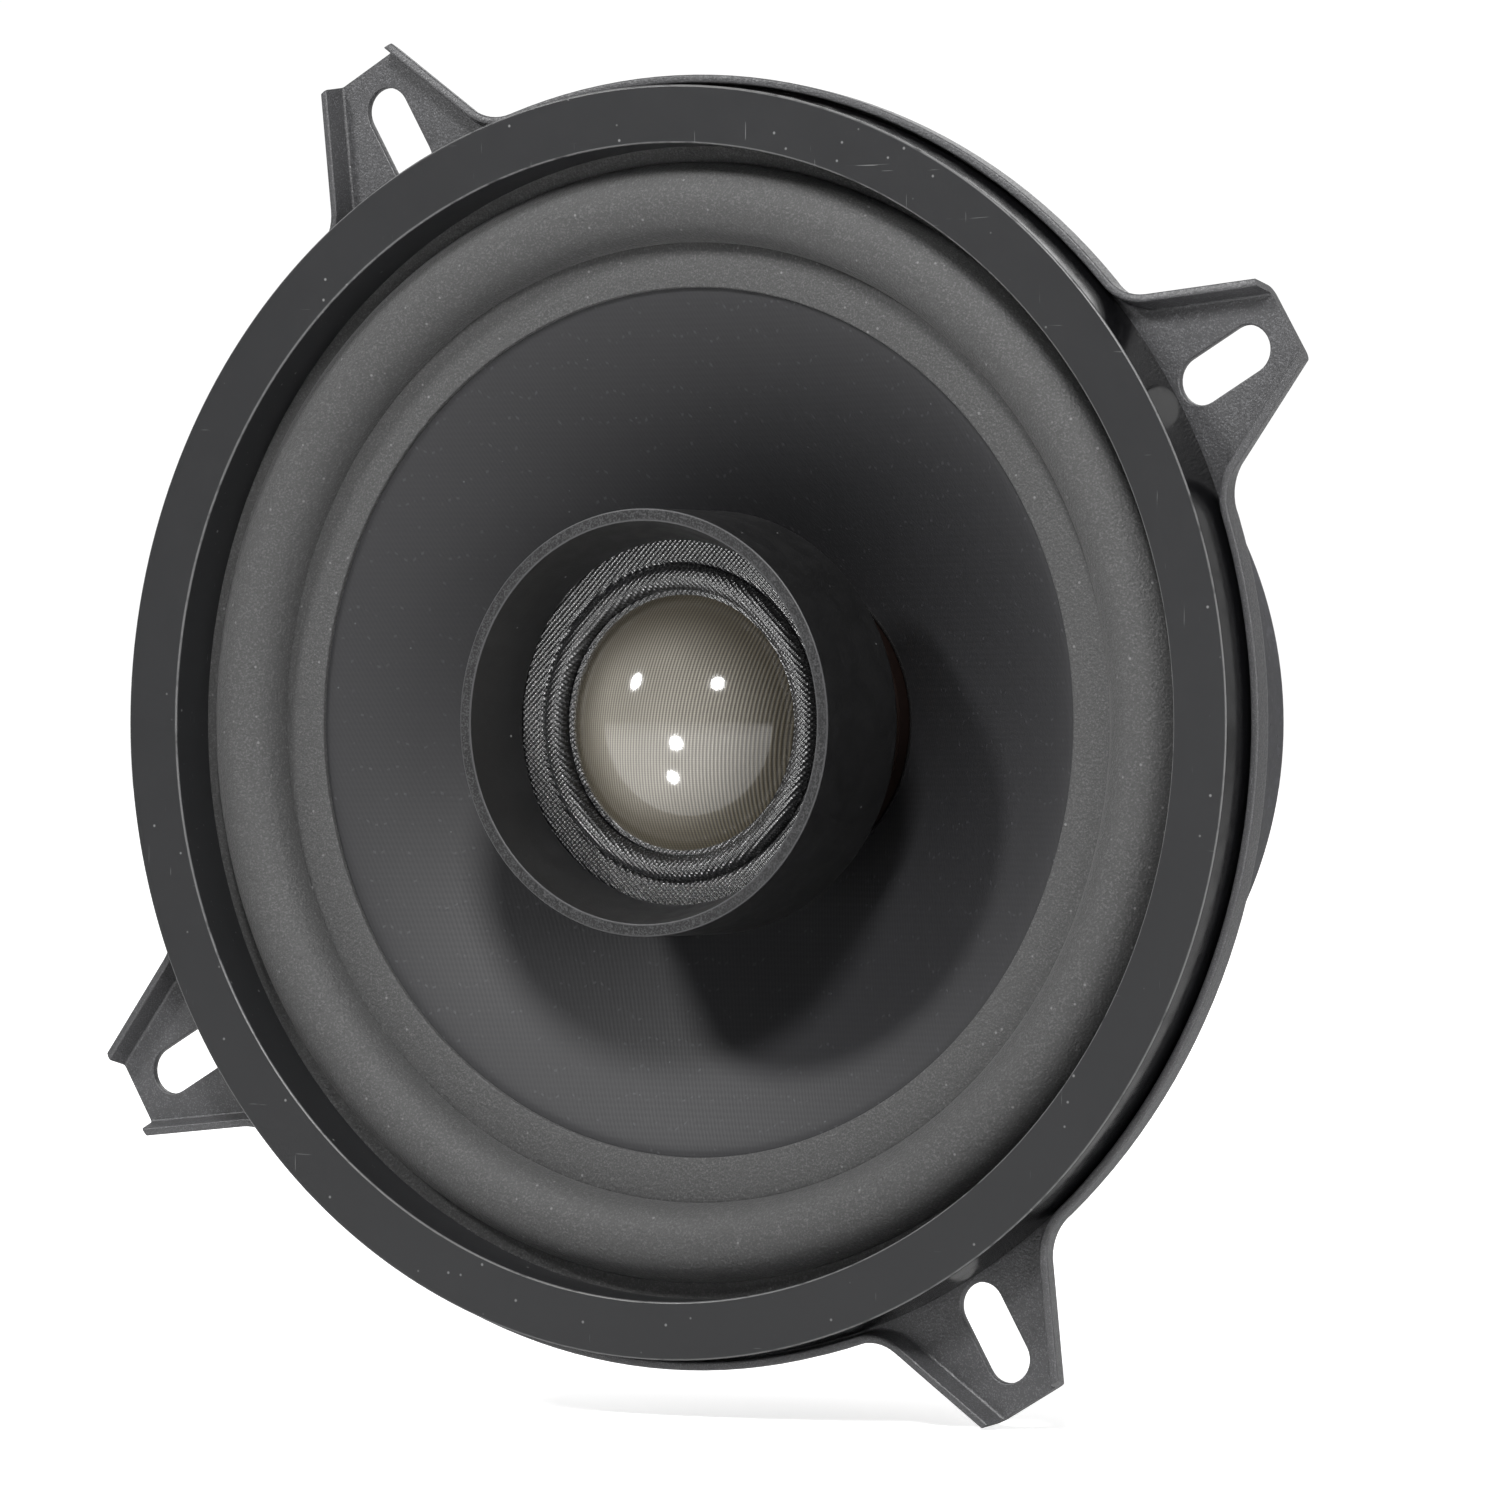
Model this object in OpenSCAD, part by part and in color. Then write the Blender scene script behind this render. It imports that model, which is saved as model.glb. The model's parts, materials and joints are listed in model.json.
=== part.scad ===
// Coaxial car speaker for a round baffle cut-out, with a pole-mounted soft-dome tweeter.
// The speaker's axis lies along Y and the front faces -Y, with Z up as it hangs in a door.
// The origin is on the axis, in the plane of the flange's rear face.
// Modules are drawn in an axial frame: local z is the depth behind that plane.

/* [Basket flange] */
// Outside diameter of the flange at its turned-up lip
rim_d = 132.6; // [132.2:0.1:134]
// Thickness of the pressed steel sheet
sheet_t = 1.0; // [0.9:0.05:1.1]
// Height of the lip in front of the flange's rear face
lip_h = 3.2; // [2.8:0.1:3.6]
// Diameter across the tips of two opposite ears
ear_tip_d = 157.8; // [156:0.2:160]
// Width of an ear at its tip
ear_tip_w = 10.2; // [9.6:0.1:10.8]
// Angle of an ear's sides to its centre line
ear_side_a = 24.2; // [23:0.1:25]
// Radius of the fillet between an ear and the rim
ear_fillet = 5; // [4:0.5:6]
// Width of the screw slots
slot_w = 4.9; // [4.5:0.1:5]
// Diameter of the circle through the slots' middles
slot_pcd = 141.7; // [141.4:0.1:142.4]
// End to end length of the screw slots
slot_l = 10.9; // [10.2:0.1:11]
// Direction of the first ear, as seen from the front
ear_a = 30; // [0:5:90]

/* [Basket body] */
// Outside diameter of the wall that passes through the baffle
wall_d = 114; // [113:0.5:115]
// Depth of the straight part of the wall
wall_h = 14.5; // [14:0.1:15]
// Depth at which the windows start
window_top = 8; // [7:0.5:9]
// Radius of the windows' inner edge
window_r = 43.5; // [43:0.5:44.5]
// Angle that each window spans
window_a = 62; // [56:1:66]
// Depth of the shelf that carries the spider
shelf_z = 22; // [21.9:0.1:22.2]
// Depth of the seat that carries the motor
seat_z = 29; // [28.9:0.05:29.1]

/* [Trim ring and cone] */
// Outside diameter of the trim ring
ring_d = 130; // [129:0.1:130]
// Inside diameter of the trim ring
ring_bore = 118.1; // [117.6:0.1:118.6]
// Height of the trim ring
ring_h = 6.1; // [5.6:0.1:6.6]
// Radius of the surround's half roll
roll_r = 4.1; // [3.9:0.1:4.2]
// Radius of the middle of the surround's roll
roll_mid_r = 53.3; // [53.2:0.1:53.4]
// Inside diameter of the surround's landing on the cone
landing_d = 89.2; // [88.8:0.1:89.4]
// Depth from the cone's rim to its neck
cone_depth = 17.9; // [17.5:0.1:18.2]
// How strongly the cone curves towards its neck, where 1 is straight
cone_curve = 1.2; // [1:0.05:1.3]

/* [Motor] */
// Diameter of the voice coil former
coil_d = 30.5; // [30.4:0.1:30.6]
// Outside diameter of the ring magnet
magnet_d = 85; // [80:1:86]
// Diameter of the top plate and the back plate
plate_d = 76; // [74:1:76]

/* [Tweeter] */
// Outside diameter of the tweeter cup
cup_d = 43.6; // [43.4:0.1:44]
// Distance of the cup's lip in front of the flange's rear face
cup_front = 10.9; // [10.4:0.1:11.4]
// Inside diameter of the cup at its lip
cup_mouth_d = 41; // [40.8:0.1:41.2]
// Diameter of the dome
dome_d = 26.2; // [26:0.1:26.3]
// Height of the dome
dome_h = 6; // [5.5:0.1:6.4]

/* [Hidden] */
$fn = 96;
cut = 0.1;

// Basket
rim_r = rim_d / 2;
wall_r = wall_d / 2;
wall_in = wall_r - sheet_t;
lip_t = 0.85;
tip_r = ear_tip_d / 2;
ears = 4;
shelf_in = 35;
shelf_out = 41;
seat_bore = 17.6;
spokes = 4;

// An ear's side is the line at side_c from the axis, square to the direction side_n
side_n = 90 - ear_side_a;
side_c = tip_r * cos(side_n) + ear_tip_w / 2 * sin(side_n);
fillet_c = rim_r + ear_fillet;
fillet_a = side_n - acos((side_c + ear_fillet) / fillet_c);

// Cone and surround
ring_rear = sheet_t + 0.5;
landing_t = 0.48;
cone_rim_z = -0.9;
cone_rim_r = 48.9;
cone_edge_r = 44.2;
cone_t = 0.5;
neck_z = cone_rim_z + cone_depth;

// Voice coil and motor
former_in = coil_d / 2;
former_out = former_in + 0.3;
neck_r = former_out + 0.05;
coil_out = former_out + 0.65;
former_front = 15;
former_rear = 39;
coil_front = 27.5;
coil_rear = 37.5;
plate_t = 5;
magnet_h = 15;
magnet_in = 24;
top_z = seat_z + sheet_t;
magnet_z = top_z + plate_t;
back_z = magnet_z + magnet_h;
rear_z = back_z + plate_t;
gap_r = 16.8;
pole_r = 14.7;
pole_front = 28;
thread_r = 4;
thread_end = back_z + 3.4;
lead_bore = 2.2;
recess_r = 9.5;
groove_w = 4;
groove_d = 1.6;
rivet_at = 29;
rivet_r = 2;
rivet_head_r = 3.4;
rivet_head_h = 1.4;

// Tweeter
cup_r = cup_d / 2;
cup_rear = 3.1;
cup_bore = 19.4;
cup_throat = 18.6;
cup_step = -3.6;
dome_r = dome_d / 2;
dome_base = -2.6;
dome_sphere = (dome_r * dome_r + dome_h * dome_h) / (2 * dome_h);
t_roll_mid = 14.95;
t_roll_r = 1.3;
t_roll_z = -2.95;
pot_front = -1.4;
pot_floor = 4.8;
pot_rear = 6.8;
pot_r = 17.1;

// Terminal board, on the spider shelf's rear face, at the bottom
board_z = shelf_z + sheet_t + 0.05;
board_t = 1.6;
board_rear = board_z + board_t;
board_w = 28;
board_y = 36.4;
board_h = 15.4;
board_hole_x = 5;
board_hole_y = 38.2;
board_rivet_r = 1.25;
tab_x = 8;
tab_y = 48;
tab_rivet_r = 0.85;
capacitor_y = 42.6;
capacitor_r = 4;
capacitor_l = 13;

// Leads: points of their centre lines in the axial frame, where y runs down
lead_r = 0.6;
wire_r = 0.45;
tinsel_route = [
    [6, 22.5, 12.7], [6.6, 26, 14.6], [7.4, 31, 16.6], [8, 37, 17.6], [8, 42, 19], [8, 45.6, 21],
    [8, 47, 22.3]
];
wire_route = [
    [0.9, 0, 7.3], [0.9, 0, 30], [0.9, 0, 52.4], [0.9, 1.4, 54.1], [0.9, 10, 54.2], [1, 32, 54.2],
    [1.6, 42.4, 54], [3.4, 44.2, 50], [7.4, 44.8, 40], [10.4, 46, 32], [11.4, 46.6, 28],
    [11.4, 46.6, 25.3]
];

// Turns the axial frame so that its depth runs along +Y
module axial() {
    rotate([-90, 0, 0]) children();
}

module ring_of(r_out, r_in, z0, z1) {
    translate([0, 0, z0])
        difference() {
            cylinder(r = r_out, h = z1 - z0);
            translate([0, 0, -cut]) cylinder(r = r_in, h = z1 - z0 + 2 * cut);
        }
}

module around(count, first = 0) {
    for (i = [0 : count - 1]) rotate(first + i * 360 / count) children();
}

// One side of an ear and the fillet that joins it to the rim, drawn inset from the outline
module ear_side(inset, tip) {
    along = [sin(side_n), -cos(side_n)];
    centre = fillet_c * [cos(fillet_a), sin(fillet_a)];
    foot = centre - (ear_fillet + inset) * [cos(side_n), sin(side_n)];
    corner = foot + ((tip - foot[0]) / along[0]) * along;
    polygon([[wall_r, 0], [tip, 0], corner, foot, [wall_r, foot[1]]]);
    difference() {
        polygon([[wall_r, 0], foot, centre, (rim_r - 1) * [cos(fillet_a), sin(fillet_a)]]);
        translate(centre) circle(r = ear_fillet + inset);
    }
}

// The flange's outline: the rim with its four ears
module flange_outline(inset, tip) {
    circle(r = rim_r - inset, $fn = 180);
    around(ears, -ear_a) {
        ear_side(inset, tip);
        mirror([0, 1]) ear_side(inset, tip);
    }
}

module ear_slot() {
    half = (slot_l - slot_w) / 2;
    around(ears, -ear_a)
        translate([slot_pcd / 2, 0, -lip_h]) {
            translate([-half, 0, 0]) cylinder(d = slot_w, h = 2 * lip_h);
            translate([half, 0, 0]) cylinder(d = slot_w, h = 2 * lip_h);
            translate([-half, -slot_w / 2, 0]) cube([2 * half, slot_w, 2 * lip_h]);
        }
}

// The body behind the flange: wall, slanted spokes, spider shelf and motor seat
module basket_body() {
    rotate_extrude($fn = 180)
        polygon([
            [wall_r, -sheet_t / 2], [wall_r, wall_h], [shelf_out + 0.5, shelf_z + sheet_t],
            [shelf_in + sheet_t, shelf_z + sheet_t], [shelf_in + sheet_t, seat_z + sheet_t],
            [seat_bore, seat_z + sheet_t], [seat_bore, seat_z], [shelf_in, seat_z],
            [shelf_in, shelf_z], [shelf_out, shelf_z], [wall_in, wall_h - 0.7],
            [wall_in, -sheet_t / 2]
        ]);
}

module window_cut() {
    around(spokes)
        rotate(-window_a / 2)
            rotate_extrude(angle = window_a, $fn = 180)
                translate([window_r, window_top]) square([wall_r - window_r + 2, 20]);
}

module basket() {
    color([0.09, 0.09, 0.095])
        axial()
            difference() {
                union() {
                    difference() {
                        translate([0, 0, -lip_h])
                            linear_extrude(height = lip_h) flange_outline(0, tip_r);
                        translate([0, 0, -lip_h - cut])
                            linear_extrude(height = lip_h + cut - sheet_t)
                                flange_outline(lip_t, tip_r + 1);
                        translate([0, 0, -lip_h]) cylinder(r = wall_in, h = 2 * lip_h, $fn = 180);
                    }
                    basket_body();
                }
                ear_slot();
                window_cut();
                rivet_holes(rivet_r + 0.1, seat_z - 1, 4);
                board_holes();
            }
}

module rivet_holes(r, z, h) {
    around(4, 45) translate([rivet_at, 0, z]) cylinder(r = r, h = h);
}

module board_holes() {
    for (x = [-board_hole_x, board_hole_x])
        translate([x, board_hole_y, shelf_z - 1]) cylinder(r = board_rivet_r + 0.05, h = 6);
}

module trim_ring() {
    edge = 0.3;
    front = -ring_rear - ring_h;
    color([0.26, 0.26, 0.27])
        axial()
            rotate_extrude($fn = 180)
                polygon([
                    [ring_bore / 2, -ring_rear], [ring_bore / 2, front + edge],
                    [ring_bore / 2 + edge, front], [ring_d / 2 - edge, front],
                    [ring_d / 2, front + edge], [ring_d / 2, -ring_rear]
                ]);
}

module surround() {
    foot = -sheet_t - 0.02;
    color([0.2, 0.2, 0.2])
        axial()
            rotate_extrude($fn = 180) {
                difference() {
                    translate([roll_mid_r, foot - 0.2]) circle(r = roll_r, $fn = 64);
                    translate([roll_mid_r, foot - 0.2]) circle(r = roll_r - 0.5, $fn = 64);
                    translate([roll_mid_r - 10, foot]) square([20, 10]);
                }
                translate([roll_mid_r + roll_r - 0.3, foot - landing_t])
                    square([64.5 - roll_mid_r - roll_r + 0.3, landing_t]);
                translate([landing_d / 2, cone_rim_z - 0.02 - landing_t])
                    square([roll_mid_r - roll_r + 0.3 - landing_d / 2, landing_t]);
            }
}

// Depth of the cone's front face at a radius
function cone_z(r) = cone_rim_z
    + cone_depth * pow((cone_edge_r - r) / (cone_edge_r - neck_r), cone_curve);

module cone() {
    steps = 12;
    radii = [for (i = [0 : steps]) neck_r + (cone_edge_r - neck_r) * i / steps];
    front = [for (r = radii) [r, cone_z(r)]];
    rear = [for (i = [steps : -1 : 1]) [radii[i], cone_z(radii[i]) + cone_t * 1.2]];
    collar = neck_r + 0.45;
    color([0.16, 0.16, 0.165])
        axial()
            rotate_extrude($fn = 180)
                polygon(concat(
                    front,
                    [[cone_rim_r, cone_rim_z], [cone_rim_r, cone_rim_z + cone_t]],
                    rear,
                    [[collar, neck_z + 0.4], [collar, neck_z + 2], [neck_r, neck_z + 2]]
                ));
}

module voice_coil_former() {
    color([0.2, 0.13, 0.09]) axial() ring_of(former_out, former_in, former_front, former_rear);
}

module voice_coil() {
    color([0.72, 0.4, 0.2]) axial() ring_of(coil_out, former_out + 0.02, coil_front, coil_rear);
}

// Corrugated damper: rings of a sine wave between the collar and the rim
module spider() {
    steps = 48;
    waves = 5;
    first = 17.6;
    last = 34.2;
    mid = shelf_z - 0.32;
    half_t = 0.2;
    wave = [for (i = [0 : steps]) [
        first + (last - first) * i / steps,
        mid + 1.1 * sin(360 * waves * i / steps)
    ]];
    color([0.85, 0.68, 0.3])
        axial()
            rotate_extrude($fn = 120)
                polygon(concat(
                    [[neck_r, mid - half_t - 0.6]],
                    [for (p = wave) p - [0, half_t]],
                    [[shelf_out - 0.4, mid - half_t], [shelf_out - 0.4, mid + half_t + 0.1]],
                    [for (i = [steps : -1 : 0]) wave[i] + [0, half_t]],
                    [[neck_r, mid + half_t]]
                ));
}

module top_plate() {
    color([0.6, 0.6, 0.6])
        axial()
            difference() {
                ring_of(plate_d / 2, gap_r, top_z, magnet_z);
                rivet_holes(rivet_r + 0.05, top_z - 1, 3.6);
            }
}

module magnet() {
    color([0.14, 0.14, 0.15]) axial() ring_of(magnet_d / 2, magnet_in, magnet_z, back_z);
}

// Back plate and pole in one piece, bored for the tweeter's post
module yoke() {
    color([0.62, 0.62, 0.62])
        axial()
            difference() {
                union() {
                    translate([0, 0, back_z]) cylinder(r = plate_d / 2, h = plate_t);
                    translate([0, 0, pole_front]) cylinder(r = pole_r, h = rear_z - pole_front - 1);
                }
                translate([0, 0, pole_front - 1]) cylinder(r = thread_r + 0.1, h = 40);
                translate([0, 0, back_z]) cylinder(r = recess_r, h = plate_t + 1);
                translate([-groove_w / 2, 0, rear_z - groove_d]) cube([groove_w, plate_d, 2 * groove_d]);
            }
}

module motor_rivets() {
    color([0.7, 0.7, 0.7])
        axial()
            around(4, 45)
                translate([rivet_at, 0, seat_z]) {
                    translate([0, 0, -rivet_head_h]) cylinder(r = rivet_head_r, h = rivet_head_h);
                    cylinder(r = rivet_r, h = 3.4);
                }
}

module tweeter_post() {
    color([0.7, 0.62, 0.35])
        axial()
            difference() {
                union() {
                    translate([0, 0, 8]) cylinder(r = thread_r, h = 4.5);
                    translate([0, 0, 12]) cylinder(r = 5.5, h = 12.5);
                    translate([0, 0, 24]) cylinder(r = 9, h = pole_front - 24);
                    translate([0, 0, pole_front - cut])
                        cylinder(r = thread_r, h = thread_end - pole_front + cut);
                }
                translate([0, 0, 7]) cylinder(r = lead_bore, h = 50);
            }
}

module post_washer() {
    color([0.75, 0.75, 0.75]) axial() ring_of(8.2, thread_r + 0.15, back_z, back_z + 0.8);
}

module post_nut() {
    color([0.72, 0.7, 0.6])
        axial()
            translate([0, 0, back_z + 0.8])
                difference() {
                    cylinder(r = 7.5, h = 2.4, $fn = 6);
                    translate([0, 0, -cut]) cylinder(r = thread_r + 0.02, h = 3);
                }
}

module tweeter_cup() {
    color([0.13, 0.13, 0.135])
        axial()
            rotate_extrude($fn = 144)
                polygon([
                    [cup_mouth_d / 2, -cup_front], [cup_r - 0.15, -cup_front],
                    [cup_r, -cup_front + 0.15], [cup_r, cup_rear], [cup_bore, cup_rear],
                    [cup_bore, cup_step], [cup_throat, cup_step]
                ]);
}

// Closes the cup behind, holds the tweeter's motor and takes the post
module tweeter_rear_cap() {
    color([0.12, 0.12, 0.125])
        axial()
            rotate_extrude($fn = 144)
                polygon([
                    [cup_bore - 0.05, 1.1], [cup_bore - 0.05, cup_rear], [cup_r, cup_rear],
                    [cup_r - 0.3, 3.8], [18.8, 7.6], [9, 9.5], [7, 9.7], [7, 12],
                    [thread_r + 0.02, 12], [thread_r + 0.02, 8], [14, 8], [14, pot_rear],
                    [pot_r + 0.1, pot_rear], [pot_r + 0.1, 1.1]
                ]);
}

module tweeter_pot() {
    color([0.6, 0.6, 0.62])
        axial()
            difference() {
                translate([0, 0, pot_front]) cylinder(r = pot_r, h = pot_rear - pot_front);
                translate([0, 0, pot_front - 1]) cylinder(r = 13.75, h = pot_floor - pot_front + 1);
            }
}

module tweeter_magnet() {
    color([0.7, 0.7, 0.72]) axial() translate([0, 0, 1]) cylinder(r = 11.5, h = pot_floor - 1);
}

module tweeter_top_plate() {
    color([0.6, 0.6, 0.62]) axial() translate([0, 0, -1.2]) cylinder(r = 12.2, h = 2.2);
}

module tweeter_mounting_ring() {
    color([0.12, 0.12, 0.12]) axial() ring_of(cup_bore - 0.1, 13.9, -2.9, pot_front);
}

module tweeter_flange() {
    color([0.1, 0.1, 0.1])
        axial() ring_of(cup_bore - 0.2, t_roll_mid + t_roll_r + 0.1, cup_step + 0.1, -2.92);
}

module tweeter_surround() {
    color([0.15, 0.15, 0.15])
        axial()
            rotate_extrude($fn = 120)
                difference() {
                    translate([t_roll_mid, t_roll_z]) circle(r = t_roll_r, $fn = 48);
                    translate([t_roll_mid, t_roll_z]) circle(r = t_roll_r - 0.3, $fn = 48);
                    translate([t_roll_mid - 2, t_roll_z]) square([4, 3]);
                }
}

module tweeter_dome() {
    skin = 0.3;
    color([0.62, 0.6, 0.55])
        axial() {
            difference() {
                translate([0, 0, dome_base - dome_h + dome_sphere]) sphere(r = dome_sphere, $fn = 144);
                translate([0, 0, dome_base - dome_h + dome_sphere])
                    sphere(r = dome_sphere - skin, $fn = 144);
                translate([0, 0, dome_base]) cylinder(r = 30, h = 40);
            }
            ring_of(dome_r + 0.5, 12.5, dome_base - cut / 2, dome_base + 0.25);
        }
}

module tweeter_former() {
    color([0.2, 0.13, 0.09]) axial() ring_of(12.85, 12.6, dome_base + 0.26, 3);
}

module tweeter_coil() {
    color([0.72, 0.4, 0.2]) axial() ring_of(13.3, 12.87, -1.4, 1.2);
}

module tweeter_damping_pad() {
    color([0.5, 0.5, 0.5]) axial() translate([0, 0, -2.2]) cylinder(r = 9, h = 1);
}

// Points on a Catmull-Rom curve through a route, a few between each pair
function between(a, b, c, d, t) = 0.5 * (2 * b + (c - a) * t + (2 * a - 5 * b + 4 * c - d) * t * t
    + (3 * b - a - 3 * c + d) * t * t * t);
function smooth(p, n) = let (last = len(p) - 1) concat(
    [for (i = [0 : last - 1], k = [0 : n - 1])
        between(p[max(i - 1, 0)], p[i], p[i + 1], p[min(i + 2, last)], k / n)],
    [p[last]]
);
function unit(v) = v / norm(v);

// Round tube of a radius along a line of points that never runs along x
module tube_along(line, r, sides = 8) {
    last = len(line) - 1;
    rings = [for (i = [0 : last])
        let (
            d = unit(line[min(i + 1, last)] - line[max(i - 1, 0)]),
            u = unit(cross(d, [1, 0, 0])),
            v = cross(d, u)
        )
        for (k = [0 : sides - 1]) line[i] + r * (cos(k * 360 / sides) * u + sin(k * 360 / sides) * v)
    ];
    walls = [for (i = [0 : last - 1], k = [0 : sides - 1]) [
        i * sides + k, i * sides + (k + 1) % sides,
        (i + 1) * sides + (k + 1) % sides, (i + 1) * sides + k
    ]];
    start = [for (k = [sides - 1 : -1 : 0]) k];
    end = [for (k = [0 : sides - 1]) last * sides + k];
    polyhedron(points = rings, faces = concat(walls, [start, end]));
}

module tweeter_leads() {
    color([0.6, 0.08, 0.06])
        axial() {
            tube_along(smooth(wire_route, 2), wire_r);
            mirror([1, 0, 0]) tube_along(smooth(wire_route, 2), wire_r);
        }
}

module terminal_board() {
    color([0.45, 0.3, 0.16])
        axial()
            difference() {
                translate([-board_w / 2, board_y, board_z]) cube([board_w, board_h, board_t]);
                board_holes();
                for (x = [-tab_x, tab_x])
                    translate([x, tab_y - 1, board_z - 1])
                        cylinder(r = tab_rivet_r + 0.05, h = board_t + 2);
            }
}

// Spade tab: a foot riveted to the board and a blade that points to the rear
module spade_tab(width) {
    thick = 0.8;
    blade = 7.6;
    translate([-width / 2, tab_y - 3, board_rear]) cube([width, 5.4, thick]);
    translate([-width / 2, tab_y + 1.6, board_rear])
        difference() {
            cube([width, thick, blade]);
            translate([width / 2, -1, blade - 2.6])
                rotate([-90, 0, 0]) cylinder(r = 0.6, h = thick + 2);
        }
    translate([0, tab_y - 1, board_z - 0.4]) cylinder(r = tab_rivet_r, h = board_t + 0.6);
}

module terminal_positive() {
    color([0.8, 0.7, 0.35]) axial() translate([tab_x, 0, 0]) spade_tab(4.8);
}

module terminal_negative() {
    color([0.78, 0.78, 0.78]) axial() translate([-tab_x, 0, 0]) spade_tab(2.8);
}

module terminal_rivets() {
    color([0.78, 0.78, 0.78])
        axial()
            for (x = [-board_hole_x, board_hole_x])
                translate([x, board_hole_y, 0]) {
                    translate([0, 0, shelf_z + 0.1])
                        cylinder(r = board_rivet_r, h = board_rear - shelf_z);
                    translate([0, 0, board_rear]) cylinder(r = 2, h = 0.7);
                }
}

module capacitor() {
    color([0.12, 0.12, 0.3])
        axial()
            translate([0, capacitor_y, board_rear + capacitor_r + 0.1])
                rotate([0, 90, 0]) {
                    cylinder(r = capacitor_r, h = capacitor_l, center = true);
                    cylinder(r = 0.4, h = capacitor_l + 3.4, center = true);
                }
}

module tinsel_lead() {
    tube_along(smooth(tinsel_route, 2), lead_r);
}

module tinsel_lead_positive() {
    color([0.75, 0.55, 0.3]) axial() tinsel_lead();
}

module tinsel_lead_negative() {
    color([0.75, 0.55, 0.3]) axial() mirror([1, 0, 0]) tinsel_lead();
}

basket();
trim_ring();
surround();
cone();
voice_coil_former();
voice_coil();
spider();
top_plate();
magnet();
yoke();
motor_rivets();
tweeter_post();
post_washer();
post_nut();
tweeter_cup();
tweeter_rear_cap();
tweeter_pot();
tweeter_magnet();
tweeter_top_plate();
tweeter_mounting_ring();
tweeter_flange();
tweeter_surround();
tweeter_dome();
tweeter_former();
tweeter_coil();
tweeter_damping_pad();
tweeter_leads();
terminal_board();
terminal_positive();
terminal_negative();
terminal_rivets();
capacitor();
tinsel_lead_positive();
tinsel_lead_negative();
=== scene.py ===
"""Looks of a coaxial car speaker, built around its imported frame.

The speaker's axis lies along Y and its front faces -Y. The frame is in metres. Outlines are
drawn in millimetres as (radius, depth) points, where depth runs along +Y, and are turned
about the axis.
"""

import json
import math

import bmesh
import bpy
from mathutils import Matrix, Vector
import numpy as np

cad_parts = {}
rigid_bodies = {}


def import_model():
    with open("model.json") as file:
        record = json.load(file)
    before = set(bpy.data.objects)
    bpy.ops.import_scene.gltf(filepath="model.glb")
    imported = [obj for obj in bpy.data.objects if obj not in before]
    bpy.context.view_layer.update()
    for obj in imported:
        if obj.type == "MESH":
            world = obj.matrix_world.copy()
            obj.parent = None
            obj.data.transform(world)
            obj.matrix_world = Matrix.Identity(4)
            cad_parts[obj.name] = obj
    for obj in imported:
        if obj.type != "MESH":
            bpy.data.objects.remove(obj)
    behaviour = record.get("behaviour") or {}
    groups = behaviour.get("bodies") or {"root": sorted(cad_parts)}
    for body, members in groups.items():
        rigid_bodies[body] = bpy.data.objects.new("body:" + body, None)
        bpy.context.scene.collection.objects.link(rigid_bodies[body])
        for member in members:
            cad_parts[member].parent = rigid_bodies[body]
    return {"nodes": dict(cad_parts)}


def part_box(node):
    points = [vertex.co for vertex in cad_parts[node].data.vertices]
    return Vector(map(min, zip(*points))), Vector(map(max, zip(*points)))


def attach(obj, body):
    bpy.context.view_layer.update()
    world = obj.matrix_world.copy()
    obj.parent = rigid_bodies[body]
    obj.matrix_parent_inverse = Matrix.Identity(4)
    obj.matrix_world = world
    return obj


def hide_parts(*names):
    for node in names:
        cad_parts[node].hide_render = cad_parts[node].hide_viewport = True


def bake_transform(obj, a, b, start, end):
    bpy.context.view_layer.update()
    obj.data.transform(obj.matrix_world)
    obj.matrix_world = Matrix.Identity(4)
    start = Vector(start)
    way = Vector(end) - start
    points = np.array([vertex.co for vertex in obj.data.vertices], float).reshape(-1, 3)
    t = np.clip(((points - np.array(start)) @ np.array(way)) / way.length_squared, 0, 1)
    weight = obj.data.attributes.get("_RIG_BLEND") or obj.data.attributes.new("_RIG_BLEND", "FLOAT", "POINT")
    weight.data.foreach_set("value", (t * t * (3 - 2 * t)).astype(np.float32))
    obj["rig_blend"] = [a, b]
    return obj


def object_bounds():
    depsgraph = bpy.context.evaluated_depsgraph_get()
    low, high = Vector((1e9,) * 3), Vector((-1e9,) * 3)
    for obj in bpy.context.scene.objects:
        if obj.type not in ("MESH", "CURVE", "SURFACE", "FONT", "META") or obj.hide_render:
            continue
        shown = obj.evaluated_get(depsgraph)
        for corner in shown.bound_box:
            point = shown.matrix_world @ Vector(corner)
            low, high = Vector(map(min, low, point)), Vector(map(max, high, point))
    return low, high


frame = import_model()
CAD_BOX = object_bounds()

bl_info = {
    "name": "Coaxial car speaker",
    "version": (1, 0, 0),
    "blender": (4, 5, 0),
    "location": "3D View > Sidebar > Speaker",
    "description": "Builds the visible pieces of a coaxial car speaker around its frame",
    "category": "Object",
}

MM = 0.001
FLOOR_GAP = 0.0002
FLOOR_RADIUS = 9.0
CAMERA_AZIMUTH = 30.8
CAMERA_REACH = 0.93
ROOM_FRONT = 0.08
ROOM_REAR = 0.65
BACKDROP = 1.05
# Brown of the coil formers darkened to near black: partly the film's own colour, partly painted shade.
FORMER_BROWN_WITH_PAINTED_SHADE = (0.008, 0.004, 0.003)
COPPER = (0.75, 0.33, 0.14)
AXIS = Vector((0, 1, 0))
FRAME_BODY = "frame"
CONE_BODY = "cone_assembly"
DOME_BODY = "tweeter_diaphragm"


def span(node):
    """Outer radius, front depth and rear depth of a round node, in millimetres."""
    low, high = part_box(node)
    return high.x / MM, low.y / MM, high.y / MM


# ---------------------------------------------------------------- settings


def length(name, description, default, low=0.0, high=0.2):
    return bpy.props.FloatProperty(
        name=name, description=description, default=default, min=low, max=high,
        unit="LENGTH", subtype="DISTANCE", precision=5,
    )


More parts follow.
